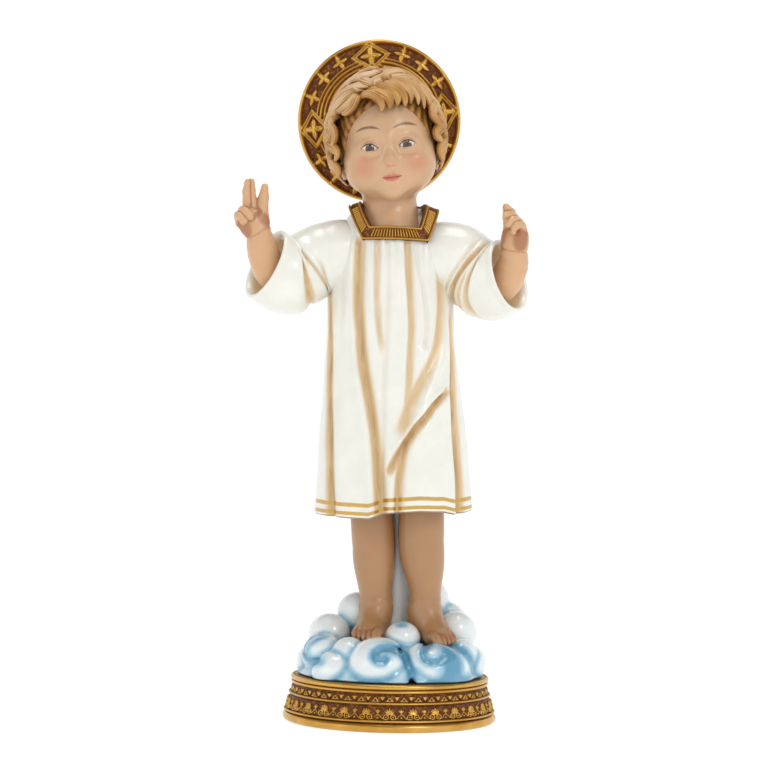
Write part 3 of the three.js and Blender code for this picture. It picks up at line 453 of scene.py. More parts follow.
def across_fold(fold, angle, height):
    """Distance across a fold from its line, and how full it is at that height."""
    line = np.asarray(fold["line"], float)
    low, high = line[0, 0], line[-1, 0]
    inside = np.clip(height, low, high)
    x = glide(line, inside)[..., 0]
    slope = (glide(line, np.clip(inside + 0.5, low, high))
             - glide(line, np.clip(inside - 0.5, low, high)))[..., 0]
    cx, _, half, deep = tunic_oval(height)
    middle = np.arcsin(np.clip((x - cx) / half, -0.985, 0.985))
    reach = np.hypot(half * np.cos(middle), deep * np.sin(middle))
    across = (angle - middle) * reach / np.sqrt(1 + slope ** 2)
    foot, top = fold["fade"]
    full = ease(height, low - foot, low + foot * 0.4) * (1 - ease(height, high - top * 0.4, high + top))
    share = np.clip((height - low) / (high - low), 0, 1)
    return across, full, share


def tunic_relief(angle, height):
    """How far the cloth stands out or sinks, and the ochre that lies in it: partly the statue's wash, partly
    painted shade in the fold valleys and the back folds.
    """
    relief = np.zeros(np.broadcast(angle, height).shape)
    wash_and_shade = np.zeros_like(relief)
    front = np.cos(angle) > -0.2
    for fold in FOLDS:
        across, full, share = across_fold(fold, angle, height)
        left, right = fold["wide"]
        wide = np.where(across < 0, left, right)
        rise = fold["rise"][0] + (fold["rise"][1] - fold["rise"][0]) * share
        relief += np.where(front, rise * full * bell(across / wide), 0)
        # ochre along the fold's valley: painted shade of the fold, partly the statue's wash
        if fold["wash_and_shade"]:
            paint = fold["wash_and_shade"] * full * bell(np.maximum(np.abs(across) - 0.3, 0) / (wide * 1.15))
            wash_and_shade = np.maximum(wash_and_shade, np.where(front, paint, 0))
    cx, _, half, _ = tunic_oval(height)
    x = cx + half * np.sin(angle)
    knee = bell((x - 13.5) / 8.5) * bell((height - 110) / 23)
    belly = bell((x + 4) / 19) * bell((height - 160) / 30)
    gathers = 0.28 * np.cos(x * 1.9) * ease(height, 178, 206)
    relief += np.where(np.cos(angle) > 0, 1.9 * knee + 0.8 * belly + gathers * np.cos(angle) ** 2, 0)
    behind = ease(-np.cos(angle), -0.15, 0.35)
    turn = np.where(angle > 0, angle - np.pi, angle + np.pi)
    full = 1 - ease(height, 168, 214)
    sway = 0.16 * np.sin(height / 21)
    fold = np.cos((turn + sway) * 9 + 0.7 * np.sin(turn * 3)) * (0.55 + 0.45 * np.cos(turn * 4 + 1))
    relief += behind * (0.35 + 1.2 * full) * fold
    # ochre painted shade in the valleys of the folds at the back, stronger below the chest
    wash_and_shade = np.maximum(wash_and_shade, behind * ease(-fold, 0.25, 0.95) * (0.25 + 0.6 * full))
    ripple = 0.22 * np.sin(height / 6.5 + 3.1 * np.sin(angle * 2.3)) * np.sin(angle * 11 + height / 19)
    return relief + ripple, wash_and_shade


def hem_height(angle):
    x = 0.4 + 34.7 * np.sin(angle)
    line = np.asarray(HEM_LINE)
    front = np.interp(x, line[:, 0], line[:, 1])
    behind = 91.6 + 1.4 * np.sin(angle) + 0.5 * np.sin(angle * 7)
    share = ease(np.cos(angle), -0.25, 0.2)
    return front * share + behind * (1 - share)


def make_tunic():
    around = np.linspace(-np.pi, np.pi, int(TUNIC_AROUND / COARSE), endpoint=False)
    up = np.linspace(0, 1, int(TUNIC_UP / COARSE))
    hem = hem_height(around)
    hem = (np.roll(hem, 1) + 2 * hem + np.roll(hem, -1)) / 4
    angle = np.broadcast_to(around, (len(up), len(around)))
    height = hem + (TUNIC_TOP - hem) * up[:, None]
    relief, wash_and_shade = tunic_relief(angle, height)
    cx, cy, half, deep = tunic_oval(height)
    sine, cosine = np.sin(angle), np.cos(angle)
    level = unit(np.stack([sine / half, -cosine / deep, np.zeros_like(sine)], axis=-1))
    outside = np.stack([cx + half * sine, cy - deep * cosine, height], axis=-1)
    outside += level * relief[..., None]
    # the cloth is cut away inside the collar
    open_wide = (height - 215) * 0.35
    opening = (ease(outside[..., 0], -14.5 - open_wide, -13 - open_wide)
               * (1 - ease(outside[..., 0], 9.9 + open_wide, 11.4 + open_wide))
               * ease(height, 213.2, 214.8) * (cosine > 0))
    outside -= level * (5.5 * opening)[..., None]
    # the lip and the hollow under the hem; the hollow gets painted shade
    lip = []
    for inset, lift in ((7.5, 7), (3.2, 6.5), (2.4, 1.2), (1.9, -0.35), (1.1, -0.75), (0.35, -0.5)):
        ring = outside[0] - level[0] * inset
        ring[:, 2] += lift
        lip.append(ring)
    rings = np.concatenate([np.array(lip), outside])
    # painted shade inside the hem's hollow: strong ochre, and heights far below the hem that the cloth paint
    # turns dark brown
    inner = np.ones((len(lip), len(around)))
    wash_and_shade = np.concatenate([inner * 0.9, wash_and_shade])
    above = np.concatenate([inner * -9, height - hem])
    points, quads, triangles = skin_of_rings(rings)
    return mesh_piece("tunic", points, quads, triangles,
                      {"wash_and_shade": with_caps(wash_and_shade), "above_hem": with_caps(above)})


# The sleeves

# Rows of x, y, height and radius, from inside the shoulder to the cuff
SLEEVE_ROWS = {
    "right": [(-13, 2, 204, 13), (-24, 1.5, 203.8, 15.4), (-31.5, 1, 201.8, 15.6),
              (-38, 0, 199.2, 15.8), (-43, -1.5, 195.6, 16.3), (-49, -4, 194, 16.8),
              (-57.6, -8, 198, 15.8)],
    "left": [(6, 2, 204, 13), (17, 1.5, 203.6, 15.4), (25, 1, 202, 16.4), (31, 0, 198.5, 16.5),
             (36.5, -2, 194.6, 17.2), (42, -4.8, 193, 16.8), (48.4, -8.4, 195, 15.8)],
}
# Creases of a sleeve: a line of degrees round it (0 on top, 90 in front) and share of its
# length, the rise, the widths towards the shoulder and the cuff, ochre (painted shade in the
# crease, partly the statue's wash), and softness
SLEEVE_FOLDS = {
    "right": [
        dict(line=[(5, 0.70), (40, 0.745), (80, 0.765), (120, 0.755), (160, 0.72), (185, 0.70)],
             rise=-1.9, wide=(1.8, 1.1), wash_and_shade=0.8),
        dict(line=[(5, 0.76), (40, 0.80), (80, 0.82), (120, 0.81), (160, 0.78)], rise=0.9,
             wide=(1.2, 2.6), wash_and_shade=0),
        dict(line=[(60, 0.60), (100, 0.585), (140, 0.56), (170, 0.53)], rise=-1.3,
             wide=(1.4, 1.4), wash_and_shade=0.45),
        dict(line=[(20, 0.60), (50, 0.62), (80, 0.66)], rise=-1.0, wide=(1.6, 1.2), wash_and_shade=0.3),
        dict(line=[(95, 0.46), (130, 0.47), (170, 0.44)], rise=-1.1, wide=(1.4, 1.6), wash_and_shade=0.35),
        dict(line=[(30, 0.52), (90, 0.53), (150, 0.50)], rise=0.7, wide=(2.2, 2.2), wash_and_shade=0),
    ],
    "left": [
        dict(line=[(10, 0.76), (45, 0.74), (80, 0.72), (120, 0.73), (160, 0.78)], rise=-1.6,
             wide=(1.8, 1.1), wash_and_shade=0.55),
        dict(line=[(15, 0.60), (45, 0.575), (80, 0.56), (120, 0.575), (155, 0.62), (175, 0.66)],
             rise=-2.0, wide=(2.2, 1.3), wash_and_shade=0.85),
        dict(line=[(35, 0.66), (80, 0.645), (130, 0.66), (165, 0.70)], rise=0.8,
             wide=(1.8, 1.8), wash_and_shade=0),
        dict(line=[(40, 0.47), (80, 0.455), (120, 0.45), (160, 0.47)], rise=-1.3,
             wide=(1.6, 1.4), wash_and_shade=0.3),
        dict(line=[(90, 0.64), (125, 0.655), (160, 0.69)], rise=-0.9, wide=(1.0, 1.0), wash_and_shade=0.5),
    ],
}
CUFF_WALL = 1.9
SLEEVE_AROUND = 144
SLEEVE_ALONG = 104


def frames_along(points):
    """The direction of a path, and the ways up and to the front across it."""
    ahead = unit(np.gradient(points, axis=0))
    up = unit(np.array([0, 0, 1.0]) - ahead * ahead[:, 2:3])
    front = np.cross(ahead, up)
    front *= np.where(front[:, 1:2] > 0, -1, 1)
    return ahead, up, front


def sleeve_relief(folds, degrees, share, length):
    relief = np.zeros_like(degrees)
    wash_and_shade = np.zeros_like(degrees)
    for fold in folds:
        line = np.asarray(fold["line"], float)
        low, high = line[0, 0], line[-1, 0]
        at = np.clip(degrees, low, high)
        across = (share - glide(line, at)[..., 0]) * length
        full = ease(degrees, low - 24, low + 12) * (1 - ease(degrees, high - 12, high + 24))
        wide = np.where(across < 0, *fold["wide"])
        relief += fold["rise"] * full * bell(across / wide)
        if fold["wash_and_shade"]:
            wash_and_shade = np.maximum(wash_and_shade, fold["wash_and_shade"] * full * bell(across / (wide * 1.2)))
    turn = np.radians(degrees)
    cloth = 0.45 * np.sin(share * 19 + 1.5 * np.cos(turn)) * ease(share, 0.2, 0.5)
    return relief + cloth * (0.6 + 0.4 * np.cos(turn * 2)), wash_and_shade


def make_sleeve(side):
    rows = np.asarray(SLEEVE_ROWS[side], float)
    along = int(SLEEVE_ALONG / COARSE)
    path = curve_through(rows, along)
    ahead, up, front = frames_along(path[:, :3])
    length = np.linalg.norm(np.diff(path[:, :3], axis=0), axis=1).sum()
    degrees = np.linspace(-180, 180, int(SLEEVE_AROUND / COARSE), endpoint=False)
    share = np.linspace(0, 1, along + 1)
    around, down = np.meshgrid(degrees, share)
    # creases that pass under the sleeve count on past 180 degrees
    relief, wash_and_shade = sleeve_relief(SLEEVE_FOLDS[side], np.where(around < -90, around + 360, around),
                                 down, length)
    turn = np.radians(around)
    out = (up[:, None] * np.cos(turn)[..., None] + front[:, None] * np.sin(turn)[..., None])
    flare = 0.5 * ease(down, 0.93, 1.0)
    radius = path[:, 3][:, None] + relief + flare
    outside = path[:, None, :3] + out * radius[..., None]
    mouth, mouth_out, mouth_radius = path[-1, :3], out[-1], radius[-1]
    inner = []
    for inset, back in ((0.5, -0.45), (1.1, -0.5), (CUFF_WALL, 0.1), (CUFF_WALL + 0.3, 3),
                        (CUFF_WALL + 0.9, 6), (CUFF_WALL + 2.4, 9), (CUFF_WALL + 5.5, 11)):
        inner.append(mouth - ahead[-1] * back + mouth_out * (mouth_radius - inset)[:, None])
    rings = np.concatenate([outside, np.array(inner)])
    # ochre painted shade inside the cuff, deepest far in
    inside = np.array([0, 0, 0.15, 0.45, 0.7, 1, 1])[:, None] * np.ones(len(degrees))
    shade = np.concatenate([wash_and_shade, inside])
    points, quads, triangles = skin_of_rings(rings)
    return mesh_piece(f"sleeve_{side}", points, quads, triangles,
                      {"wash_and_shade": with_caps(shade), "above_hem": np.full(len(points), 40.0)})


# The gilt collar: corners of its outer and inner edge, from the back right round the front
COLLAR_OUTER = [(14, 11.5, 222.8), (17.6, -3.5, 222.4), (13.2, -15.2, 209.2),
                (-15.6, -15.4, 209.5), (-21.8, -3.5, 223.6), (-21, 11.5, 223)]
COLLAR_INNER = [(9, 8.5, 225), (11.6, -5.5, 224.4), (9.2, -14.6, 215.1),
                (-12.2, -14.8, 215.5), (-16.5, -5.5, 225.4), (-15, 8.5, 225.2)]
COLLAR_BOW = 2.3
RIB_PITCH = 1.42


def make_collar():
    outer, inner = np.asarray(COLLAR_OUTER), np.asarray(COLLAR_INNER)
    sides = []
    for n in range(len(outer)):
        nxt = (n + 1) % len(outer)
        long = np.linalg.norm(outer[nxt] - outer[n])
        steps = max(int(long / (0.24 * COARSE)), 8)
        t = np.arange(steps) / steps
        a = outer[n] + (outer[nxt] - outer[n]) * t[:, None]
        b = inner[n] + (inner[nxt] - inner[n]) * t[:, None]
        bow = COLLAR_BOW * (1 - (2 * t - 1) ** 2) * (1 if n in (2, 5) else 0.35)
        way = unit(np.cross(outer[nxt] - outer[n], inner[n] - outer[n]))
        if way @ ((outer[n] + outer[nxt]) / 2 - COLLAR_MIDDLE) < 0:
            way = -way
        ribs = max(round(long * 0.86 / RIB_PITCH), 3)
        phase = np.clip((t - 0.09) / 0.82, 0, 1) * ribs * 2 * np.pi
        sides.append((a + way * bow[:, None], b + way * bow[:, None],
                      np.broadcast_to(way, a.shape), 0.5 - 0.5 * np.cos(phase),
                      0.5 + 0.5 * np.cos(t * long / 0.9 * 2 * np.pi)))
    a, b, way, rib, bead = (np.concatenate([side[k] for side in sides]) for k in range(5))
    smooth = way.copy()
    for _ in range(3):
        smooth = unit(np.roll(smooth, 1, axis=0) + smooth * 2 + np.roll(smooth, -1, axis=0))
    way = smooth
    across = np.linspace(0, 1, 25)
    edge = np.maximum(bell((across - 0.09) / 0.075), bell((across - 0.91) / 0.075))
    field = ease(across, 0.2, 0.27) * (1 - ease(across, 0.73, 0.8))
    raised = (0.35 + edge[:, None] * (0.75 + 0.3 * bead) + field[:, None] * 0.8 * rib)
    raised *= (ease(across, 0, 0.045) * (1 - ease(across, 0.955, 1)))[:, None] * 0.6 + 0.4
    # brown on the collar's back and on the band's low ground between ribs and beads: partly patina, partly
    # painted shade
    rings = [b - way * 2.2, a - way * 2.2]
    hollow = [np.ones(len(a)), np.ones(len(a))]
    for v, lift in zip(across, raised):
        rings.append(a + (b - a) * v + way * lift[:, None])
        hollow.append(1 - np.clip((lift - 0.3) / 0.7, 0, 1))
    rings = np.stack(rings, axis=1)
    hollow = np.stack(hollow, axis=1)
    count, round_it = rings.shape[:2]
    number = np.arange(count * round_it).reshape(count, round_it)
    nxt, up = np.roll(number, -1, axis=0), np.roll(number, -1, axis=1)
    quads = np.stack([number, nxt, np.roll(nxt, -1, axis=1), up], axis=-1).reshape(-1, 4)
    return mesh_piece("collar", rings.reshape(-1, 3), quads, (), {"patina_and_shade": hollow.ravel()})


# The head

EYE_X, EYE_Z, EYE_Y, EYE_RADIUS = 8.1, -4.3, -16.9, 4.5
LID_UP, LID_DOWN, LID_HALF = 1.75, 1.45, 3.75
MOUTH_LINE = [(-4.0, -17.5), (-2.2, -17.75), (-0.7, -17.6), (0, -17.8), (0.7, -17.6),
              (2.2, -17.75), (4.0, -17.5)]
# The neck and the chest inside the collar: height, centre x and y, half width and depth
NECK_ROWS = [(206, -2.0, 0.2, 13.4, 14.4), (214, -2.2, 0.3, 12.8, 14.4), (218, -2.8, 0.5, 12.4, 13.4),
             (223, -3.6, 0.8, 12.1, 11.7), (230, -4.3, 1, 11.8, 10.9), (244, -5, 2, 12.4, 12)]


def in_head(x, y, z):
    """Row coordinates read in the head's own upright millimetres."""
    c, s = math.cos(HEAD_TILT), math.sin(HEAD_TILT)
    x, y, z = x - HEAD_CENTRE[0], y - HEAD_CENTRE[1], z - HEAD_CENTRE[2]
    return c * x - s * z, y, s * x + c * z


def head_egg(centre, radii):
    return egg(from_head(centre), radii, HEAD_TURN)


def head_rod(points, radii):
    return rod(from_head(points), radii)


def lid_opening(side):
    """The almond opening of an eye in front of its ball."""
    centre = from_head((side * EYE_X, EYE_Y, EYE_Z))
    def distance(x, y, z):
        u, v, w = in_head(x, y, z)
        across = side * (u - side * EYE_X)
        level = np.clip(1 - (across / LID_HALF) ** 2, -1.5, 1)
        lift = w - EYE_Z - 0.07 * across
        almond = np.maximum(lift - LID_UP * level, -lift - LID_DOWN * level) * 0.8
        reach = np.sqrt((u - side * EYE_X) ** 2 + (v - EYE_Y) ** 2 + (w - EYE_Z) ** 2)
        return np.maximum(np.maximum(almond, EYE_RADIUS - 0.1 - reach), v - EYE_Y + 1.5)
    return distance, centre - 6.5, centre + 6.5


def arc(side, middle, rise, half, points=9):
    """A painted or pressed arc over an eye, as x and z in the head's own mm."""
    across = np.linspace(-half, half, points)
    return [(side * (EYE_X + u), EYE_Z + middle + rise * (1 - (u / half) ** 2) + 0.07 * u)
            for u in across]


def make_head():
    clay = Clay((-32, -31.5, 205), (21, 23, 283), 0.44)
    clay.add(head_egg((0, 1.0, 3.0), (20.6, 21.7, 23.4)), 1, mark=False)
    clay.add(head_egg((0, -2.0, -8.8), (18.4, 19.4, 18.4)), 9, mark=False)
    for side in (-1, 1):
        clay.add(ball(from_head((side * 9.4, -12.0, -12.8)), 9.2), 7, mark=False)
    clay.add(ball(from_head((0, -17.4, -22.4)), 4.4), 6, mark=False)
    clay.add(head_egg((0, -16.8, -17.2), (7.2, 4.6, 5.4)), 5, mark=False)
    for side in (-1, 1):
        clay.cut(head_egg((side * 8.2, -24.4, -3.6), (5.8, 3.6, 4.0)), 4.5)
    clay.add(head_rod([(0, -19.8, -0.5), (0, -21.3, -5.2), (0, -22.9, -9.0)], [1.4, 1.6, 2.0]),
             3.4, mark=False)
    clay.add(ball(from_head((0, -23.5, -10.9)), 2.3), 1.8, mark=False)
    for side in (-1, 1):
        clay.add(ball(from_head((side * 2.5, -21.8, -11.7)), 1.65), 1.2, mark=False)
        clay.cut(ball(from_head((side * 1.3, -23.5, -13.3)), 0.75), 0.6)
        clay.add(ball(from_head((side * EYE_X, EYE_Y, EYE_Z)), EYE_RADIUS + 0.6), 1.8, mark=False)
    for side in (-1, 1):
        clay.cut(lid_opening(side), 0.25)
        clay.add(head_rod([(0, -21.9, -16.9), (side * 1.3, -22.1, -16.6),
                           (side * 2.7, -21.2, -17.1), (side * 4.1, -19.9, -17.6)],
                          [0.85, 0.95, 0.75, 0.35]), 0.8, mark=False)
    clay.add(head_rod([(-3.1, -20.4, -18.1), (-1.6, -21.6, -18.7), (0, -21.9, -18.85),
                       (1.6, -21.6, -18.7), (3.1, -20.4, -18.1)], [0.5, 1.05, 1.2, 1.05, 0.5]),
             0.8, mark=False)
    def press(x, y, z):
        u, v, w = in_head(x, y, z)
        front = ease(-v, 13, 16)
        line, _ = to_line(MOUTH_LINE, u, w)
        amount = 0.5 * bell(line / 0.36)
        amount = amount + 0.3 * bell(u / 0.8) * ease(w, -16.4, -15.6) * (1 - ease(w, -14.4, -13.6))
        amount = amount + 0.6 * bell((w + 21.2) / 1.3) * bell(u / 3.6)
        for side in (-1, 1):
            amount = amount + 0.34 * bell(to_line(arc(side, 0.9, 2.0, 3.9), u, w)[0] / 0.42)
            amount = amount + 0.25 * bell(to_line(arc(side, -3.4, -0.5, 3.0), u, w)[0] / 0.6)
            amount = amount + 0.35 * bell((u - side * 5.2) / 0.9) * bell((w + 18) / 1.4)
        return (amount * front).astype(np.float32)

    low, high = from_head((-16, -29, -26)), from_head((16, -12, 4))
    clay.push(press, np.minimum(low, high) - 2, np.maximum(low, high) + 2)
    for side in (-1, 1):
        clay.add(head_egg((side * 20.2, 1.0, -8.5), (2.1, 4.2, 6.4)), 1.4)
        clay.cut(head_egg((side * 22.4, 0.2, -7.2), (1.5, 2.4, 3.8)), 0.8)
    clay.add(column(NECK_ROWS), 3.0, mark=False)
    points, quads, crease = clay.skin()
    points = relaxed(points, quads, 2, 0.35)
    x, y, z = points.T
    u, v, w = in_head(x, y, z)
    front = ease(-v, 10, 14)
    share = np.clip(1 - (u / 4.25) ** 2, 0, 1)
    line = np.interp(u, *np.array(MOUTH_LINE).T)
    bow = line + 1.35 * share ** 0.8 - 0.42 * bell(u / 0.7)
    under = line - 1.75 * np.clip(1 - (u / 3.7) ** 2, 0, 1) ** 0.75
    lip = np.maximum(w - bow, under - w)
    blush = sum(bell(np.hypot(u - side * 11.4, w + 12.2) / 5.2) for side in (-1, 1)) * front
    blush = np.maximum(blush, 0.4 * bell(np.hypot(u, w + 11) / 2.6) * front)
    # crease: brown painted shade where the ears join the head, partly the statue's wash
    marks = {
        "crease": np.clip(crease, 0, 1),
        "lip": (1 - ease(lip, -0.25, 0.3)) * front * (np.abs(u) < 4.3),
        "blush": np.clip(blush, 0, 1),
        "mouth": bell(to_line(MOUTH_LINE, u, w)[0] / 0.3) * front,
        "in_head": np.column_stack([u, v, w]),
    }
    return mesh_piece("head", points, quads, (), marks)


def make_eye(side):
    """One painted eyeball, smooth, its marks read from in_eye."""
    name = "eye_left" if side > 0 else "eye_right"
    bpy.ops.object.select_all(action="DESELECT")
    bpy.ops.mesh.primitive_uv_sphere_add(segments=48, ring_count=32, radius=EYE_RADIUS * MM)
    obj = bpy.context.object
    obj.name = obj.data.name = name
    centre = np.array((side * EYE_X, EYE_Y, EYE_Z))
    count = len(obj.data.vertices)
    places = np.zeros(count * 3)
    obj.data.vertices.foreach_get("co", places)
    places = places.reshape(-1, 3) / MM
    obj.data.vertices.foreach_set("co", (from_head(places + centre) * MM).ravel())
    attribute = obj.data.attributes.new("in_eye", "FLOAT_VECTOR", "POINT")
    attribute.data.foreach_set("vector", places.astype(np.float32).ravel())
    obj.data.shade_smooth()
    obj.data.update()
    return obj


# The hair

HAIR_RADII = np.array([23.7, 23.4, 28.3])
HAIR_MIDDLE = np.array([-0.6, 0.6, 1.0])
STRANDS = 3.0
# Locks over the crown and the parting: half width, how strong the pale painted highlight on
# its crests is, lift in mm, then the places they run through as azimuth and elevation in degrees
CROWN_LOCKS = [
    (4.2, 0.4, 1.0, (20, 74), (60, 66), (74, 52), (80, 38), (80, 24)),
    (4.2, 0.35, 0.7, (10, 62), (50, 62), (68, 50), (74, 36), (74, 22)),
    (4.0, 0.3, 0.8, (0, 56), (36, 55), (56, 46), (60, 32), (58, 18)),
    (4.2, 0.85, 1.2, (30, 76), (-40, 78), (-70, 66), (-76, 54), (-80, 42)),
    (4.2, 0.9, 1.0, (12, 60), (-20, 64), (-54, 60), (-74, 50), (-80, 36)),
    (3.4, 0.8, 1.0, (-12, 47), (-37, 46), (-58, 40), (-76, 32), (-82, 24)),
    (3.0, 0.75, 1.2, (-28, 42), (-42, 40), (-56, 34), (-66, 27), (-57, 20)),
    (2.6, 0.6, 1.5, (-28, 39), (-33, 34), (-39, 28), (-50, 25), (-60, 28)),
    (2.2, 0.3, 1.4, (-28, 38), (-29, 32), (-33, 26), (-42, 22), (-49, 23)),
]
# Tufts that stand over the parting
TUFTS = [
    (3.0, 0.9, 1.6, (30, 60), (2, 52), (-15, 48), (-34, 47), (-54, 46)),
    (2.6, 0.95, 1.9, (15, 68), (-16, 61), (-33, 56), (-50, 55), (-60, 48)),
    (2.4, 0.8, 2.1, (-3, 45), (-16, 48), (-28, 55), (-26, 62), (-10, 63)),
    (2.4, 0.7, 2.1, (4, 45), (8, 54), (22, 59), (42, 58), (50, 52)),
    (2.6, 0.5, 1.6, (10, 51), (27, 52), (44, 49), (53, 42), (58, 33)),
]
# The fringe from the parting to the child's left: half width, strength of its pale painted highlight, height
# of the tip
FRINGE = [(2.3, 0.15, 18), (3.0, 0.05, 20), (2.8, 0.1, 22), (2.7, 0.1, 21), (2.5, 0.25, 24),
          (2.5, 0.4, 22), (2.6, 0.3, 19), (3.2, 0.35, 15)]
# Waved clumps beside the face: half width, strength of the pale painted highlight, lift, then
# from and to as azimuth and elevation, then the swing of the waves in degrees and how many there are
SIDE_CLUMPS = [(4.2, 0.6, 0.6, (62, 58), (82, 18), 4, 1.0), (3.8, 0.5, 0.9, (78, 40), (82, 6), 5, 1.5),
               (3.8, 0.3, 0.9, (80, 22), (84, -12), 6, 1.5), (3.4, 0.2, 1.0, (82, 4), (82, -26), 6, 1.5),
               (3.0, 0.35, 1.0, (70, 34), (64, 4), 7, 1.5), (3.0, 0.2, 1.2, (68, 14), (64, -14), 8, 1.5),
               (2.8, 0.15, 1.2, (72, -2), (72, -30), 7, 1.5), (2.4, 0.4, 1.5, (59, 26), (60, -6), 5, 1.5)]
# The opening of the hair for the face, an ellipse in degrees: half its width, the elevation of
# its middle and half its height
FACE_ASIDE, FACE_MIDDLE, FACE_TALL = 54, -22, 50
# Elevation in degrees where the locks of the crown start, past the top, so that they close it
PAST_CROWN = 92
# The back of the hair is pressed flatter over this many mm in front of the halo's dish
HAIR_PRESS = 1.2


def on_hair(azimuth, elevation, lift):
    """Places on the hair in the head's own mm, and the ways out of it, from degrees."""
    a, e = np.radians(azimuth), np.radians(elevation)
    way = np.stack([np.cos(e) * np.sin(a), -np.cos(e) * np.cos(a), np.sin(e) + 0 * a], axis=-1)
    place = HAIR_MIDDLE + (HAIR_RADII + np.asarray(lift)[..., None]) * way
    return place, unit(way / HAIR_RADII)


def lock_rings(path, wide, seed, thick=2.1, steps=28, top=34):
    """One flat carved lock through (azimuth, elevation, lift). Fine strands run along it,
    wander a little and come together in its pointed tip. Its painted light comes with it: dark
    painted shade in the grooves, at the edges, underneath and at the root, light on the crests."""
    t = np.linspace(0, 1, steps)
    azimuth, elevation, rise = curve_through(path, steps - 1).T
    rise = rise + 0.7 - 1.5 * (1 - ease(t, 0, 0.16)) - 0.5 * ease(t, 0.82, 1) + 0.3 * np.sin(9 * t + seed)
    place, out = on_hair(azimuth, elevation, rise)
    side = unit(np.cross(unit(np.gradient(place, axis=0)), out))
    full = (np.sin(np.pi * (0.2 + 0.782 * t)) ** 0.75)[:, None]
    across = np.concatenate([np.linspace(1, -1, top), np.linspace(-1, 1, 10)[1:-1]])
    face = np.r_[np.ones(top), -np.ones(8)]
    bow = np.sqrt(1 - across ** 2)
    turn = across + 0.10 * np.sin(3 * across + seed) + 0.06 * np.sin(5 * t + seed)[:, None]
    groove = bell(np.sin(np.pi * STRANDS * turn) / 0.42) * (0.72 + 0.28 * np.sin(6 * across + 2 * seed))
    groove = groove * (1 - 0.25 * ease(np.abs(across), 0.7, 1))
    high = np.where(face > 0, bow ** 0.8 * thick, -0.45 * thick * bow) * full ** 0.7
    high = high - 0.42 * groove * (face > 0) * full ** 0.6 * ease(bow, 0, 0.4)
    rings = (place[:, None] + side[:, None] * (wide * full * across)[..., None]
             + out[:, None] * high[..., None])
    # painted light and shade: dark in the strand grooves, at the lock's edges, on its underside and towards
    # its root, light on the crests
    light = (1 - 0.82 * groove) * (1 - 0.7 * np.abs(across) ** 5) * np.where(face > 0, 1, 0.1)
    light = light * (0.84 + 0.16 * np.sin(7 * t + 3 * across[None, 0] + seed))[:, None]
    light = light * (0.35 + 0.65 * ease(t, 0.0, 0.22) * (1 - 0.25 * ease(t, 0.9, 1)))[:, None]
    return rings, light


def back_locks():
    """The plainer locks round the back, in tiers like shingles that wave side by side."""
    chance = np.random.default_rng(23)
    locks = []
    for tier, (top, foot, first, last, count) in enumerate([
            (2, -35, 98, 262, 11), (22, -16, 94, 266, 12), (42, 6, 92, 268, 12), (64, 28, 90, 270, 11)]):
        for n in range(count):
            a = first + (last - first) * (n + 0.5 * (tier % 2)) / (count - 0.5)
            bow, drop = 5 * (-1) ** tier, chance.uniform(-4, 4)
            path = [(a, top, 0.3), (a + bow, top * 0.66 + foot * 0.34, 0.4),
                    (a - bow, top * 0.3 + foot * 0.7 + drop * 0.5, 0.5), (a + bow * 0.6, foot + drop, 0.2)]
            locks.append((path, 5.2, chance.uniform(0.1, 0.6)))
    for n in range(12):
        a = 80 + 210 * n / 11
        locks.append(([(a + 40, PAST_CROWN, 0.5), (a + 16, 72, 0.6), (a - 4, 60, 0.6), (a + 4, 44, 0.3)],
                      5.0, chance.uniform(0.1, 0.6)))
    for n in range(5):
        a = -58 + 29 * n
        locks.append(([(a - 20, PAST_CROWN, 0.2), (a - 8, 74, 0.2), (a, 60, 0.1), (a + 4, 46, 0)],
                      5.4, 0.4))
    return locks


def front_locks():
    """The locks that show round the face, from the lowest layer to the tufts."""
    locks = []
    for side in (-1, 1):
        for n, (wide, pale_highlight, lift, start, end, swing, waves) in enumerate(SIDE_CLUMPS):
            path = []
            for t in np.linspace(0, 1, 7):
                sway = swing * math.sin(2 * math.pi * waves * t + 0.8 * n + (0.9 if side > 0 else 0))
                path.append((side * (start[0] + (end[0] - start[0]) * t + sway),
                             start[1] + (end[1] - start[1]) * t + 2 * side, lift))
            # the locks on the child's left get half the pale painted highlight
            locks.append((path, wide, pale_highlight if side < 0 else 0.5 * pale_highlight))
    for wide, pale_highlight, lift, *places_on in CROWN_LOCKS:
        locks.append(([(a, e, lift) for a, e in places_on], wide, pale_highlight))
    for n, (wide, pale_highlight, low) in reversed(list(enumerate(FRINGE))):
        root, tip = (-28 + 8 * n, 36 + 3 * n), (-2 + 8.5 * n, low)
        path = [(root[0] + (tip[0] - root[0]) * along, tip[1] + (root[1] - tip[1]) * up, 1.9 - 0.12 * n)
                for along, up in ((0, 1), (0.55, 0.94), (0.93, 0.62), (1.05, 0.3), (1, 0))]
        locks.append((path, wide, pale_highlight))
    for wide, pale_highlight, lift, *places_on in TUFTS:
        locks.append(([(a, e, lift) for a, e in places_on], wide, pale_highlight))
    return locks


def against_halo(points):
    """The same points, with the back of the hair pressed against the halo, not through it."""
    start = HALO_CENTRE[1] - HALO_FRONT[0][1] - HAIR_PRESS
    past = np.maximum(points[:, 1] - start, 0)
    pressed = points.copy()
    pressed[:, 1] += HAIR_PRESS * (1 - np.exp(-past / HAIR_PRESS)) - past
    return pressed


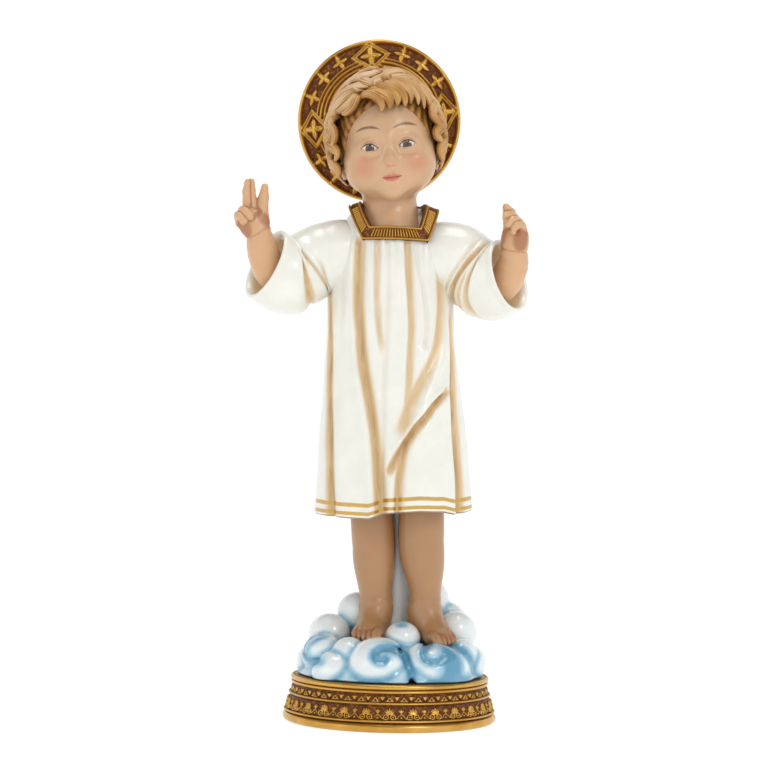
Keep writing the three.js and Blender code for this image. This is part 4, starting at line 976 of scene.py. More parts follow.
def make_hair():
    parts = []
    for seed, (path, wide, pale_highlight) in enumerate(back_locks()):
        rings, light = lock_rings(path, wide, 1.7 * seed, steps=int(15 / COARSE), top=int(17 / COARSE))
        parts.append((rings, light, pale_highlight))
    for seed, (path, wide, pale_highlight) in enumerate(front_locks()):
        rings, light = lock_rings(path, wide, 2.3 * seed, steps=int(27 / COARSE), top=int(32 / COARSE))
        parts.append((rings, light, pale_highlight))
    # the cap under the locks, open over the face, painted dark as the shade between the locks
    a, e = np.meshgrid(np.linspace(-180, 180, int(130 / COARSE), endpoint=False),
                       np.linspace(-44, 86, int(64 / COARSE)))
    strand = np.cos(np.radians(a + 10 * np.sin(np.radians(e * 5 + a))) * 34)
    opening = np.hypot(a / FACE_ASIDE, (e - FACE_MIDDLE) / FACE_TALL)
    lowest = -20 - 16 * np.clip(-np.cos(np.radians(a)), 0, 1)
    hidden = np.maximum(1 - ease(opening, 0.96, 1.08), 1 - ease(e, lowest - 5, lowest + 1))
    place, _ = on_hair(a, e, -1.0 + 0.3 * strand * np.cos(np.radians(e)) - 7.5 * hidden)
    parts.append((place, 0.36 + 0.16 * strand, 0.2))
    points, quads, triangles, lights, pale_highlights = [], [], [], [], []
    total = 0
    for rings, light, pale_highlight in parts:
        p, q, t = skin_of_rings(from_head(rings))
        points.append(p)
        quads.append(q + total)
        triangles.append(t + total)
        lights.append(with_caps(light))
        pale_highlights.append(np.full(len(p), pale_highlight))
        total += len(p)
    points = against_halo(np.vstack(points))
    return mesh_piece("hair", points, np.vstack(quads), np.vstack(triangles),
                      {"strand": np.concatenate(lights), "pale_highlight": np.concatenate(pale_highlights)})


# The hands

PALM_LENGTH, PALM_HALF, PALM_THICK = 11.0, 5.8, 3.9
KNUCKLE_BENDS = (0.5, 1.25, 1.15)
BONES = (0.4, 0.32, 0.28)
HANDS = {
    "right": dict(
        wrist=(-61, -16, 212), arm=[(-44, -3, 193), (-53.5, -8, 193.5), (-58.4, -12.5, 203)],
        up=(-0.52, -0.14, 0.84), palm=(0.35, -0.93, 0), thumb_side=1,
        fingers=[(2.9, 13.4, 1.9, 10, -22), (0.2, 14, 1.95, 10, -25), (-2.6, 12, 1.9, 80, -10),
                 (-4.8, 10.6, 1.75, 82, -4)],
        thumb=(15.4, 2.1, 6, 34)),
    "left": dict(
        wrist=(50.6, -15.5, 206.5), arm=[(36, -3, 192), (45, -8, 191), (49.6, -12, 199)],
        up=(0.1, -0.16, 0.98), palm=(-0.74, -0.66, 0), thumb_side=-1,
        fingers=[(3.4, 12.4, 1.85, 20, -8), (1.1, 12.4, 1.9, 32, -6), (-1.4, 11.4, 1.85, 44, -4),
                 (-3.8, 10, 1.7, 54, -2)],
        thumb=(15.6, 2.1, 6, 6)),
}


def finger_path(start, up, palm, hinge, length, curl, lean):
    ahead = turned_about(palm, math.radians(lean)) @ up
    points = [start]
    for bone, bend in zip(BONES, KNUCKLE_BENDS):
        ahead = turned_about(hinge, math.radians(curl) * bend) @ ahead
        points.append(points[-1] + ahead * length * bone)
    return np.array(points)


def make_hand(side):
    spec = HANDS[side]
    root, up, palm = np.array(spec["wrist"], float), unit(spec["up"]), np.array(spec["palm"])
    palm = unit(palm - up * (palm @ up))
    hinge = np.cross(up, palm)
    to_thumb = hinge * spec["thumb_side"]
    turn = np.column_stack([hinge, -palm, up])
    clay = Clay(root - (19, 17, 25), root + (19, 17, 26), 0.36)
    arm = np.array([*spec["arm"], root - up * 1.2, root + up * 3])
    clay.add(rod(curve_through(arm, 12), np.interp(np.linspace(0, 4, 13), range(5),
                                                  [7.4, 7.6, 6.9, 5.5, 5.0])), 1, mark=False)
    clay.add(egg(root + up * PALM_LENGTH * 0.5, (PALM_HALF, PALM_THICK, PALM_LENGTH * 0.66), turn),
             3, mark=False)
    clay.add(egg(root + up * 3.4 + to_thumb * 3.1 + palm * 1.7, (3.0, 2.4, 4.2), turn), 2.2)
    clay.add(egg(root + up * 4.2 - to_thumb * 3.2 + palm * 1.3, (2.5, 2.1, 4.2), turn), 2.2)
    for across, length, radius, curl, lean in spec["fingers"]:
        start = root + up * (PALM_LENGTH * 0.72 - abs(across) * 0.15) + to_thumb * across
        path = finger_path(start, up, palm, hinge, length * 1.06, curl, lean)
        path = curve_through(path, 9)
        clay.add(rod(path, np.interp(np.linspace(0, 3, 10), range(4),
                                     np.array([1.12, 1.02, 0.94, 0.72]) * radius)), 0.75)
        # the joints stand out a little at the back of the finger
        for at in (3, 6):
            clay.add(ball(path[at] - palm * 0.35, radius * 0.92), 0.8, mark=False)
    length, radius, curl, lean = spec["thumb"]
    start = root + up * 1.9 + to_thumb * PALM_HALF * 0.55 + palm * 1.2
    path = finger_path(start, up, palm, hinge, length * 1.04, curl, -lean * spec["thumb_side"])
    path = curve_through(path, 9)
    clay.add(rod(path, np.interp(np.linspace(0, 3, 10), range(4),
                                 np.array([1.5, 1.22, 1.05, 0.74]) * radius)), 1.6)
    clay.add(ball(path[6] - to_thumb * -0.2, radius * 1.02), 0.8, mark=False)

    def wrist(x, y, z):
        along = (x - root[0]) * up[0] + (y - root[1]) * up[1] + (z - root[2]) * up[2]
        return (0.32 * bell((along + 0.4) / 0.55) + 0.16 * bell((along - 8.8) / 0.4)).astype(np.float32)

    # the wrist's creases also get brown painted shade
    clay.push(wrist, root - 12, root + 12,
              lambda x, y, z: (wrist(x, y, z) * 1.6).astype(np.float32))
    points, quads, crease = clay.skin()
    points = relaxed(points, quads, 1, 0.3)
    zero = np.zeros(len(points))
    return mesh_piece(f"hand_{side}", points, quads, (), {
        "crease": np.clip(crease, 0, 1), "lip": zero, "blush": zero, "mouth": zero,
        "in_head": np.full((len(points), 3), 99.0)})


# Legs and feet

LEGS = {
    "right": dict(
        rows=[(40, -6.4, 1.6, 6.0, 6.6), (50, -6.6, 0.2, 6.4, 6.9), (58, -7.2, 0.4, 7.5, 8),
              (68, -7.8, 0.6, 9.1, 9.4), (78, -8.2, 0, 9.6, 9.8), (100, -10, 0, 9.4, 10)],
        heel=(-6.2, 6.4, 41.0), toes=(-11.3, -21.4, 38.6), big_side=1),
    "left": dict(
        rows=[(38, 14.2, -0.4, 6.2, 6.8), (50, 14.7, -1.6, 6.6, 6.9), (58, 14.6, -1.8, 7.2, 8),
              (68, 13.6, -2, 9.3, 9.6), (78, 12.6, -3, 10.1, 10.4), (100, 12.6, -3.6, 9.6, 10.4)],
        heel=(13.4, 4.6, 39.6), toes=(24.6, -20.2, 37.2), big_side=-1),
}
TOES = [(4.7, 1.0, 2.45), (1.9, 1.0, 1.75), (-0.5, 0.965, 1.65), (-2.7, 0.92, 1.55),
        (-4.6, 0.86, 1.45)]


def make_leg(side):
    spec = LEGS[side]
    heel, toes = np.array(spec["heel"]), np.array(spec["toes"])
    ahead = toes - heel
    length = np.linalg.norm(ahead)
    ahead = ahead / length
    level = unit(np.array([ahead[0], ahead[1], 0]))
    to_big = np.array([-level[1], level[0], 0]) * spec["big_side"]
    up = np.cross(to_big, ahead) * spec["big_side"]
    up = up if up[2] > 0 else -up
    turn = np.column_stack([to_big, ahead, up])
    low = np.minimum(heel, toes) - (13, 9, 9)
    high = np.maximum(heel, toes) + (13, 9, 0)
    ankle = np.array(spec["rows"][1][1:3])
    low[:2] = np.minimum(low[:2], ankle - 13)
    high[:2] = np.maximum(high[:2], ankle + 14)
    high[2] = 101
    clay = Clay(low, high, 0.54)
    clay.add(column(spec["rows"]), 1, mark=False)
    clay.add(ball(heel + up * 0.3, 5.4), 4, mark=False)
    clay.add(egg(heel + ahead * length * 0.42 + up * 0.2, (6.1, 10.5, 4.9), turn), 5, mark=False)
    instep = [np.array([ankle[0], ankle[1] - 0.6, heel[2] + 8]), heel + ahead * length * 0.44 + up * 3.6,
              heel + ahead * length * 0.7 + up * 0.9]
    clay.add(rod(instep, [6.4, 5.0, 3.4]), 5, mark=False)
    clay.add(egg(heel + ahead * length * 0.72 - up * 0.6, (7.2, 6.6, 3.3), turn), 4, mark=False)
    for across, share, radius in TOES:
        base = heel + ahead * length * 0.78 + to_big * across * 0.95 + up * 0.5
        tip = heel + ahead * (length * share + 0.6) + to_big * across - up * 0.9
        middle = base * 0.45 + tip * 0.55 + up * 0.75
        clay.add(rod(curve_through([base, middle, tip], 6),
                     np.interp(np.linspace(0, 2, 7), range(3),
                               [radius * 1.05, radius * 0.94, radius * 0.9])), 0.6)

    def creases(x, y, z):
        tilt = z + 0.35 * (y - ankle[1])
        rings = 0.34 * bell((tilt - 51.5) / 1.0) + 0.16 * bell((z - 77 - 0.1 * x) / 1.6)
        toe = 0 * rings
        for first, second in zip(TOES[:-1], TOES[1:]):
            across = (first[0] + second[0]) / 2
            side_way = ((x - heel[0]) * to_big[0] + (y - heel[1]) * to_big[1])
            along = ((x - heel[0]) * ahead[0] + (y - heel[1]) * ahead[1] + (z - heel[2]) * ahead[2])
            toe = toe + 0.55 * bell((side_way - across) / 0.4) * ease(along, length * 0.74, length * 0.84)
        return ((rings + toe) * (y < ankle[1] + 2)).astype(np.float32)

    # the ankle and toe creases also get brown painted shade
    clay.push(creases, low, high, lambda x, y, z: (creases(x, y, z) * 0.9 * (z < 60)).astype(np.float32))
    points, quads, crease = clay.skin()
    points = relaxed(points, quads, 1, 0.3)
    x, y, z = points.T
    zero = np.zeros(len(points))
    blush = 0.35 * bell(np.linalg.norm(points - toes, axis=1) / 7) + 0.2 * bell((z - 76) / 7) * (y < 0)
    shade = np.clip(crease, 0, 1)
    return mesh_piece(f"leg_{side}", points, quads, (), {
        "crease": shade, "lip": zero, "blush": blush, "mouth": zero,
        "in_head": np.full((len(points), 3), 99.0)})


# The cloud

# Puffs as x, y, height, radius and how softly each joins the rest
PUFFS = [
    (3, 22, 42, 15, 1.2), (-20, 24, 28, 13.5, 1.2), (23, 23, 29, 13, 1.2), (2, 31, 27, 10, 1.2),
    (-34, 10, 24, 7.5, 1.2), (34.5, 9, 25, 8, 1.2), (-13, 13, 41, 11, 1.4), (16.2, 13, 52, 9.4, 1.4),
    (-14.6, 9, 46, 9.2, 1.4), (25, 14, 42, 9, 1.4), (-26.8, 1, 37, 9.2, 1.4), (28.6, 2, 38.6, 9.4, 1.4),
    (4.9, -14, 36.4, 8.2, 1.3), (-33.5, -4, 25, 7.5, 1.3), (33.4, -9, 26, 8.2, 1.3),
    (30.6, -13, 30, 7.4, 1.3), (-29.6, -12.5, 30.2, 9.0, 1.3), (-17.6, -20.5, 29.6, 8.4, 1.6),
    (-23.5, -23, 22.2, 10.2, 1.2), (16.2, -24, 24.2, 12.6, 1.3), (23.2, -21, 22.8, 11.4, 5),
    (-5, -25.6, 24.3, 14.4, 1.2),
]
MOUND = [(20.3, 40.4), (21.2, 40.4), (22.2, 39.6), (26, 37), (31, 30), (35, 22)]
# Grooves drawn on the front of the puffs as x and height, then width, depth and blue
CLOUD_GROOVES = [
    ([(9.2, 19.5), (8.3, 25.2), (6.6, 30.2), (3.4, 33.6), (-0.6, 34.9), (-4.2, 34.8),
      (-6.8, 33.2), (-7.3, 31.2), (-5.9, 29.6), (-3.7, 29.5), (-2.4, 30.8)], 1.25, 2.1, 1.0),
    ([(17.0, 36.6), (14.4, 34.7), (13.6, 32.2), (14.8, 30.0), (17.8, 29.0), (20.8, 29.6),
      (22.6, 31.2)], 1.15, 1.9, 1.0),
    ([(-28.2, 38.4), (-32.2, 37.3), (-35.4, 34.6), (-36.6, 31.2), (-35.4, 28.3), (-32.4, 27.0),
      (-29.8, 28.2)], 1.1, 1.7, 0.9),
    ([(3.6, 43.2), (6.6, 43.4)], 0.7, 0.6, 0.7),
]
POST_ROWS = [(30, 2, 14, 14, 13), (56, 2.5, 13.5, 9, 8), (76, 2.5, 13, 8.5, 7), (100, 2, 13, 10, 8)]


def make_cloud():
    clay = Clay((-43, -43, CLOUD_FOOT - 1.4), (43, 43, 101), 0.66)
    rows = [(z, 0, 0, r, r) for z, r in MOUND]
    clay.add(column(rows), 1, mark=False)
    clay.add(column(POST_ROWS), 1.5, mark=False)
    for x, y, z, radius, soft in PUFFS:
        clay.add(ball((x, y, z), radius), soft)

    def press(x, y, z):
        amount = np.zeros(np.broadcast(x, y, z).shape, np.float32)
        for line, wide, deep, _ in CLOUD_GROOVES:
            off, share = to_line(line, x + 0.04 * (y + 30), z)
            fade = 1 - 0.35 * share
            amount = amount + deep * fade * bell(off / wide) * ease(-y, 8, 14)
        return amount.astype(np.float32)

    def blue(x, y, z):
        paint = np.zeros(np.broadcast(x, y, z).shape, np.float32)
        for line, wide, _, strength in CLOUD_GROOVES:
            off, _ = to_line(line, x + 0.04 * (y + 30), z)
            paint = np.maximum(paint, strength * bell(off / (wide * 1.5)) * ease(-y, 8, 14))
        return paint.astype(np.float32)

    clay.push(press, (-42, -42, 20), (42, -6, 48), blue)
    clay.cut(box((-60, -60, -20), (60, 60, CLOUD_FOOT)), 0.3)
    points, quads, crease = clay.skin()
    points = relaxed(points, quads, 2, 0.4)
    points[:, 2] = np.maximum(points[:, 2], CLOUD_FOOT)
    # paint sprayed towards the creases and the foot, wider than the crease itself
    near = blurred_marks(points, quads, np.clip(crease, 0, 1), 16)
    foot = 0.55 * (1 - ease(points[:, 2], 20.3, 25.5))
    paint = np.clip(np.maximum(crease * 0.9, near * 1.6) + foot * 0.7, 0, 1)
    height = points[:, 2]
    paint *= 1 - 0.75 * ease(height, 58, 80)
    return mesh_piece("cloud", points, quads, (), {"blue": paint})


def blurred_marks(points, quads, values, rounds):
    """Marks spread over their neighbours, as sprayed paint is."""
    ends = np.concatenate([quads, np.roll(quads, -1, axis=1)]).reshape(2, -1)
    count = np.bincount(ends[0], minlength=len(points)) + np.bincount(ends[1], minlength=len(points))
    for _ in range(int(rounds / COARSE)):
        values = 0.5 * values + 0.5 * (np.bincount(ends[0], values[ends[1]], len(points))
                                       + np.bincount(ends[1], values[ends[0]], len(points))) / count
    return values


# The halo

STAR_DISTANCE, LOZENGE_DISTANCE = 31.2, 29.2
STARS = [math.radians(90 * quarter + step) for quarter in range(4) for step in (26.7, 45, 63.3)]
LOZENGES = [math.radians(90 * quarter) for quarter in range(4)]
# Disc section as radius and how far it stands out in front
HALO_FRONT = [(0, -0.5), (10, -0.4), (20, -0.15), (23.4, 0), (23.9, 0.1), (24.3, 0.75), (24.8, 0.75),
              (25.2, 0.15), (25.6, 0.1), (26.0, 0.85), (26.6, 0.85), (27.0, 0.1), (27.3, 0.1),
              (27.7, 0.7), (28.1, 0.65), (28.5, -0.15), (29.5, -0.3), (34.1, -0.3), (34.5, 0),
              (34.9, 1.0), (35.4, 1.45), (35.8, 1.35), (36.2, 0.7), (36.4, 0)]


def petals(radial, tangential, long, wide, high):
    """Four ridged petals in a cross round a boss."""
    height = np.zeros_like(radial)
    for along, off in ((np.abs(radial), tangential), (np.abs(tangential), radial)):
        s = np.clip(along / long, 0, 1)
        half = wide * np.sin(np.pi * s ** 0.75) ** 0.8 + 0.08
        body = np.sqrt(np.clip(1 - (off / half) ** 2, 0, 1)) * (along < long)
        height = np.maximum(height, high * body - 0.3 * high * bell(off / 0.24) * ease(s, 0.25, 0.4))
    boss = np.sqrt(np.clip(1 - np.hypot(radial, tangential) ** 2 / 0.75, 0, 1))
    return np.maximum(height, 1.1 * high * boss)


def star_height(radial, tangential):
    return petals(radial, tangential, 3.9, 1.05, 1.5)


def lozenge_height(radial, tangential):
    p, q = np.abs(radial) / 7.0, np.abs(tangential) / 9.8
    edge = p + q
    frame_ridge = 1.8 * bell((edge - 0.87) / 0.085) + 0.9 * bell((edge - 0.69) / 0.05)
    flower = petals(radial, tangential, 4.9, 1.45, 1.7) * (1 - ease(edge, 0.6, 0.66))
    return np.maximum(frame_ridge, flower), edge


def make_halo():
    around = np.linspace(0, 2 * np.pi, int(430 / COARSE), endpoint=False)
    radii = np.concatenate([np.linspace(0.6, 22.4, int(12 / COARSE)),
                            np.linspace(22.8, 36.4, int(50 / COARSE))])
    r, angle = np.meshgrid(radii, around, indexing="ij")
    rise = np.interp(r, *np.array(HALO_FRONT).T)
    # brown in the sunk ring between the ridges and on the lozenges' floors: partly patina, partly painted
    # shade; raised ornament stays bright
    dark = ease(-rise, -0.75, 0.1) * ease(r, 22.6, 24.2) * (1 - ease(r, 34.3, 35))
    ornament = np.zeros_like(rise)
    for turn in STARS:
        radial = r * np.cos(angle - turn) - STAR_DISTANCE
        ornament = np.maximum(ornament, star_height(radial, r * np.sin(angle - turn))
                              * (np.cos(angle - turn) > 0))
    for turn in LOZENGES:
        radial, tangential = r * np.cos(angle - turn) - LOZENGE_DISTANCE, r * np.sin(angle - turn)
        high, edge = lozenge_height(radial, tangential)
        front = np.cos(angle - turn) > 0
        within = front * (1 - ease(edge, 0.9, 1.0))
        rise = rise * (1 - within) - 0.2 * within
        dark = np.maximum(dark * (1 - within), within)
        ornament = np.maximum(ornament, high * front)
        for bend in (3.0, 7.0):
            rib = np.abs(tangential) - bend * (0.35 + 0.65 * ease(-radial, 2.0, 8.0) ** 1.3)
            reach = ease(-radial, 3.6, 4.6) * (1 - ease(-radial, 8.6, 9.4)) * front * (edge > 0.93)
            ornament = np.maximum(ornament, 1.3 * bell(rib / 0.42) * reach)
    dark = dark * (1 - ease(ornament, 0.1, 0.75))
    dark = np.maximum(dark, 0)
    rise = rise + ornament + 0.05 * np.sin(r * 1.7 + 3 * np.sin(angle * 5)) * np.cos(angle * 9)
    sight = angle + HALO_TURN
    front = np.stack([r * np.cos(sight), -rise, r * np.sin(sight)], axis=-1)
    back = []
    for radius, deep in ((36.4, 0.5), (36.1, 1.2), (35.2, 1.6), (30, 1.7), (20, 1.8), (8, 1.85), (0.6, 1.85)):
        turn = around + HALO_TURN
        wave = 0.06 * np.sin(turn * 7 + radius) * (radius < 35)
        back.append(np.stack([radius * np.cos(turn), deep + wave, radius * np.sin(turn)], axis=-1))
    rings = np.concatenate([front, np.array(back)]) + HALO_CENTRE
    # the back of the disc gets a little of the same brown
    shade = np.concatenate([dark, np.full((len(back), len(around)), 0.25)])
    points, quads, triangles = skin_of_rings(rings)
    return mesh_piece("halo_disc", points, quads, triangles, {"patina_and_shade": with_caps(shade)})


# The plinth

LEAF_COUNT, TRIANGLE_COUNT = 28, 44


def round_part(radius, height, out, half, points=12):
    """A half-round moulding as rows of radius, height and darkness; the darkness, where it turns in at top
    and foot, is painted shade, partly patina.
    """
    turn = np.linspace(-np.pi / 2, np.pi / 2, points)
    return [(radius + out * math.cos(a), height + half * math.sin(a), 0.7 * (1 - math.cos(a)) ** 2)
            for a in turn]


def plinth_rows():
    # rows of radius, height and darkness: brown in the hollows and under the mouldings, partly patina, partly
    # painted shade
    rows = [(0.5, 0, 0.3), (30, 0, 0.3), (44.2, 0, 0.5)]
    rows += round_part(44.4, 2.1, 2.3, 2.05, 14)
    rows += [(45.3, 4.35, 1), (45.9, 4.45, 0.5), (46.25, 4.7, 0), (46.3, 5.05, 0), (45.9, 5.35, 0.5),
             (45.0, 5.5, 1), (44.4, 5.6, 1), (43.2, 10.9, 1), (43.3, 11.2, 1), (43.3, 11.6, 1),
             (43.9, 11.75, 0.5), (44.25, 12.0, 0), (44.25, 12.3, 0), (43.9, 12.6, 0.5), (43.1, 12.8, 1),
             (42.2, 12.9, 1), (42.0, 15.3, 1), (42.1, 15.9, 1), (42.2, 16.2, 0.9), (42.8, 16.4, 0.4),
             (43.1, 16.7, 0), (43.1, 17.15, 0), (42.8, 17.5, 0.4), (42.3, 17.7, 1)]
    rows += round_part(42.1, 18.85, 1.25, 1.12, 12)
    rows += [(41.2, 20.0, 0.4), (30, 20.0, 0.4), (0.5, 20.0, 0.4)]
    return rows


def lathe(name, rows, columns):
    rows = np.array(rows, float)
    turn = np.linspace(0, 2 * np.pi, int(columns / COARSE), endpoint=False)
    radius = rows[:, 0, None] * (1 + 0.0006 * np.sin(turn * 5 + rows[:, 1, None]))
    rings = np.stack([radius * np.cos(turn), radius * np.sin(turn),
                      np.broadcast_to(rows[:, 1, None], radius.shape)], axis=-1)
    points, quads, triangles = skin_of_rings(rings)
    shade = np.broadcast_to(rows[:, 2, None], radius.shape)
    return mesh_piece(name, points, quads, triangles, {"patina_and_shade": with_caps(shade)})


def leaf_relief(p, q):
    """The leaf band's pattern in mm from the middle of a repeat, up from the band's foot."""
    p = np.abs(p)
    relief = np.zeros_like(p)
    # a fan of leaves over each scroll pair
    for lean, length in ((0, 3.1), (24, 3.0), (48, 2.7), (74, 2.2)):
        a = math.radians(lean)
        along = p * math.sin(a) + (q - 2.0) * math.cos(a)
        across = p * math.cos(a) - (q - 2.0) * math.sin(a)
        wide = 0.46 * np.sqrt(np.clip(along / length * (1.12 - along / length) * 4, 0.02, 1))
        leaf = np.clip(1 - (across / wide) ** 2, 0, 1) * ease(along, 0.1, 0.5)
        leaf = leaf * (1 - ease(along, length - 0.5, length))
        relief = np.maximum(relief, 0.95 * leaf)
    # the smaller leaf between the fans
    side = 5.05 - p
    for lean, length in ((0, 2.2), (34, 2.0)):
        a = math.radians(lean)
        along = side * math.sin(a) + (q - 2.7) * math.cos(a)
        across = side * math.cos(a) - (q - 2.7) * math.sin(a)
        leaf = np.clip(1 - (across / 0.42) ** 2, 0, 1) * ease(along, 0, 0.5)
        leaf = leaf * (1 - ease(along, length - 0.6, length))
        relief = np.maximum(relief, 0.85 * leaf)
    # a pair of scrolls with an eye, and the stem that joins it to the next pair
    reach = np.hypot(p - 1.5, (q - 1.25) * 1.05)
    relief = np.maximum(relief, 0.9 * bell((reach - 1.02) / 0.24) * ease(reach - p, -3.0, -1.5))
    relief = np.maximum(relief, 0.85 * np.sqrt(np.clip(1 - (reach / 0.46) ** 2, 0, 1)))
    stem = q - (0.55 + 1.9 * ease(p, 2.5, 5.05))
    relief = np.maximum(relief, 0.8 * bell(stem / 0.28) * ease(p, 2.2, 2.7))
    relief = np.maximum(relief, 0.8 * bell(np.hypot(side, q - 1.0) / 0.55))
    return relief


def triangle_relief(p, q, half):
    """Open triangles standing on the edge, a solid one hanging between each two."""
    p = np.abs(p)
    level = q / 2.3
    outside = (1.95 * (1 - level) - p) * 0.75
    ridge = bell((outside - 0.3) / 0.24) * ease(level, 0.0, 0.12)
    ridge = np.maximum(ridge, bell((q - 0.3) / 0.24) * (p < 1.7))
    hanging = (half - p) + 1.15 * (1 - level)
    solid = ease(1.25 - hanging, 0.0, 0.35) * ease(level, 0.12, 0.3)
    return 0.75 * np.maximum(ridge, solid) * (1 - ease(level, 0.93, 1.04))


def relief_band(name, foot, top, count, columns, rows, relief):
    """A closed ring of carved band, its plain back inside the plinth's core."""
    columns, rows = int(columns / COARSE), int(rows / COARSE)
    turn = np.linspace(0, 2 * np.pi, columns, endpoint=False)
    share = np.linspace(0, 1, rows)[:, None]
    radius = foot[0] + (top[0] - foot[0]) * share
    height = foot[1] + (top[1] - foot[1]) * share
    span = 2 * np.pi / count
    local = (turn + span / 2) % span - span / 2
    p = local[None] * (foot[0] + top[0]) / 2
    deep = relief(p + 0 * share, (height - foot[1]) + 0 * p)
    deep *= ease(share, 0, 0.05) * (1 - ease(share, 0.95, 1))
    # brown on the ground between the carving: partly patina, partly painted shade
    shade = 1 - ease(deep, 0.12, 0.62)
    outer = radius + deep
    back = [(top[0] - 1.2, top[1]), (foot[0] - 1.2, foot[1])]
    radius = np.concatenate([outer, [np.full(columns, r) for r, _ in back], outer[:1]])
    heights = np.concatenate([height + 0 * p, [np.full(columns, z) for _, z in back], height[:1] + 0 * p])
    shade = np.concatenate([shade, np.ones((2, columns)), shade[:1]])
    rings = np.stack([radius * np.cos(turn), radius * np.sin(turn), heights], axis=-1)
    # the last ring is the first again, so its corners are shared
    points, quads, _ = skin_of_rings(rings, caps=(False, False))
    quads = np.where(quads >= (len(rings) - 1) * columns, quads - (len(rings) - 1) * columns, quads)
    points, shade = points[:-columns], shade[:-1]
    return mesh_piece(name, points, quads, (), {"patina_and_shade": shade.ravel()})


def make_plinth():
    body = lathe("plinth_body", plinth_rows(), 200)
    leaves = relief_band("plinth_leaf_band", (44.95, 5.5), (43.55, 11.05), LEAF_COUNT, 1260, 26, leaf_relief)
    half = math.pi * 42.4 / TRIANGLE_COUNT
    triangles = relief_band("plinth_triangle_band", (42.45, 12.8), (42.35, 15.4), TRIANGLE_COUNT, 1012,
                            13, lambda p, q: triangle_relief(p, q, half))
    return [body, leaves, triangles]


# Paint and gilding

def lay(tree, kind, inputs=None, **settings):
    """A node with its settings, and each input either linked or given a value."""
    node = tree.nodes.new(kind)
    for key, value in settings.items():
        setattr(node, key, value)
    for key, value in (inputs or {}).items():
        if isinstance(value, bpy.types.NodeSocket):
            tree.links.new(value, node.inputs[key])
        else:
            node.inputs[key].default_value = value
    return node


def sums(tree, operation, a, b=0.0, c=0.0, clamp=False):
    return lay(tree, "ShaderNodeMath", {0: a, 1: b, 2: c}, operation=operation, use_clamp=clamp).outputs[0]


def eased(tree, value, low, high, start=0.0, end=1.0):
    return lay(tree, "ShaderNodeMapRange", {"Value": value, "From Min": low, "From Max": high,
                                            "To Min": start, "To Max": end},
               interpolation_type="SMOOTHSTEP").outputs[0]


def mixed(tree, share, under, over, blend="MIX"):
    node = lay(tree, "ShaderNodeMix", {0: share, 6: under, 7: over}, data_type="RGBA", blend_type=blend)
    return node.outputs[2]


def mark(tree, name, output="Fac"):
    return lay(tree, "ShaderNodeAttribute", attribute_name=name).outputs[output]


def places(tree):
    return lay(tree, "ShaderNodeTexCoord").outputs["Object"]


def grain(tree, vector, scale, detail=3.0, rough=0.55, distortion=0.0):
    return lay(tree, "ShaderNodeTexNoise", {"Vector": vector, "Scale": scale, "Detail": detail,
                                            "Roughness": rough, "Distortion": distortion}).outputs["Fac"]


def rgb(r, g, b):
    return (r, g, b, 1.0)


def group_of(name, inputs, outputs):
    tree = bpy.data.node_groups.new(name, "ShaderNodeTree")
    for label, kind in inputs:
        tree.interface.new_socket(label, in_out="INPUT", socket_type=kind)
    for label, kind in outputs:
        tree.interface.new_socket(label, in_out="OUTPUT", socket_type=kind)
    return tree, tree.nodes.new("NodeGroupInput"), tree.nodes.new("NodeGroupOutput")


def cast_surface():
    """The uneven skin of painted cast resin: waves, brush marks and small pits."""
    tree, given, made = group_of("cast_surface", [("Vector", "NodeSocketVector")],
                                 [("Height", "NodeSocketFloat"), ("Mottle", "NodeSocketFloat"),
                                  ("Speck", "NodeSocketFloat")])
    vector = given.outputs["Vector"]
    waves = grain(tree, vector, 130, 3)
    fine = grain(tree, vector, 900, 3, 0.6)
    specks = lay(tree, "ShaderNodeTexVoronoi", {"Vector": vector, "Scale": 260.0}).outputs["Distance"]
    height = sums(tree, "MULTIPLY_ADD", fine, 0.12, waves)
    tree.links.new(height, made.inputs["Height"])
    tree.links.new(eased(tree, grain(tree, vector, 55, 4, 0.6), 0.36, 0.66), made.inputs["Mottle"])
    tree.links.new(eased(tree, specks, 0.10, 0.02), made.inputs["Speck"])
    return tree


def new_paint(name, **sockets):
    material = bpy.data.materials.new(name)
    material.use_nodes = True
    tree = material.node_tree
    tree.nodes.clear()
    shader = lay(tree, "ShaderNodeBsdfPrincipled", sockets)
    out = tree.nodes.new("ShaderNodeOutputMaterial")
    tree.links.new(shader.outputs[0], out.inputs["Surface"])
    return material, tree, shader


def group_node(tree, group, vector):
    node = tree.nodes.new("ShaderNodeGroup")
    node.node_tree = group
    tree.links.new(vector, node.inputs["Vector"])
    return node


def finish_with(tree, shader, height, strength, distance, colour, rough):
    bump = lay(tree, "ShaderNodeBump", {"Strength": strength, "Distance": distance, "Height": height})
    tree.links.new(bump.outputs[0], shader.inputs["Normal"])
    tree.links.new(colour, shader.inputs["Base Color"])
    tree.links.new(rough, shader.inputs["Roughness"])


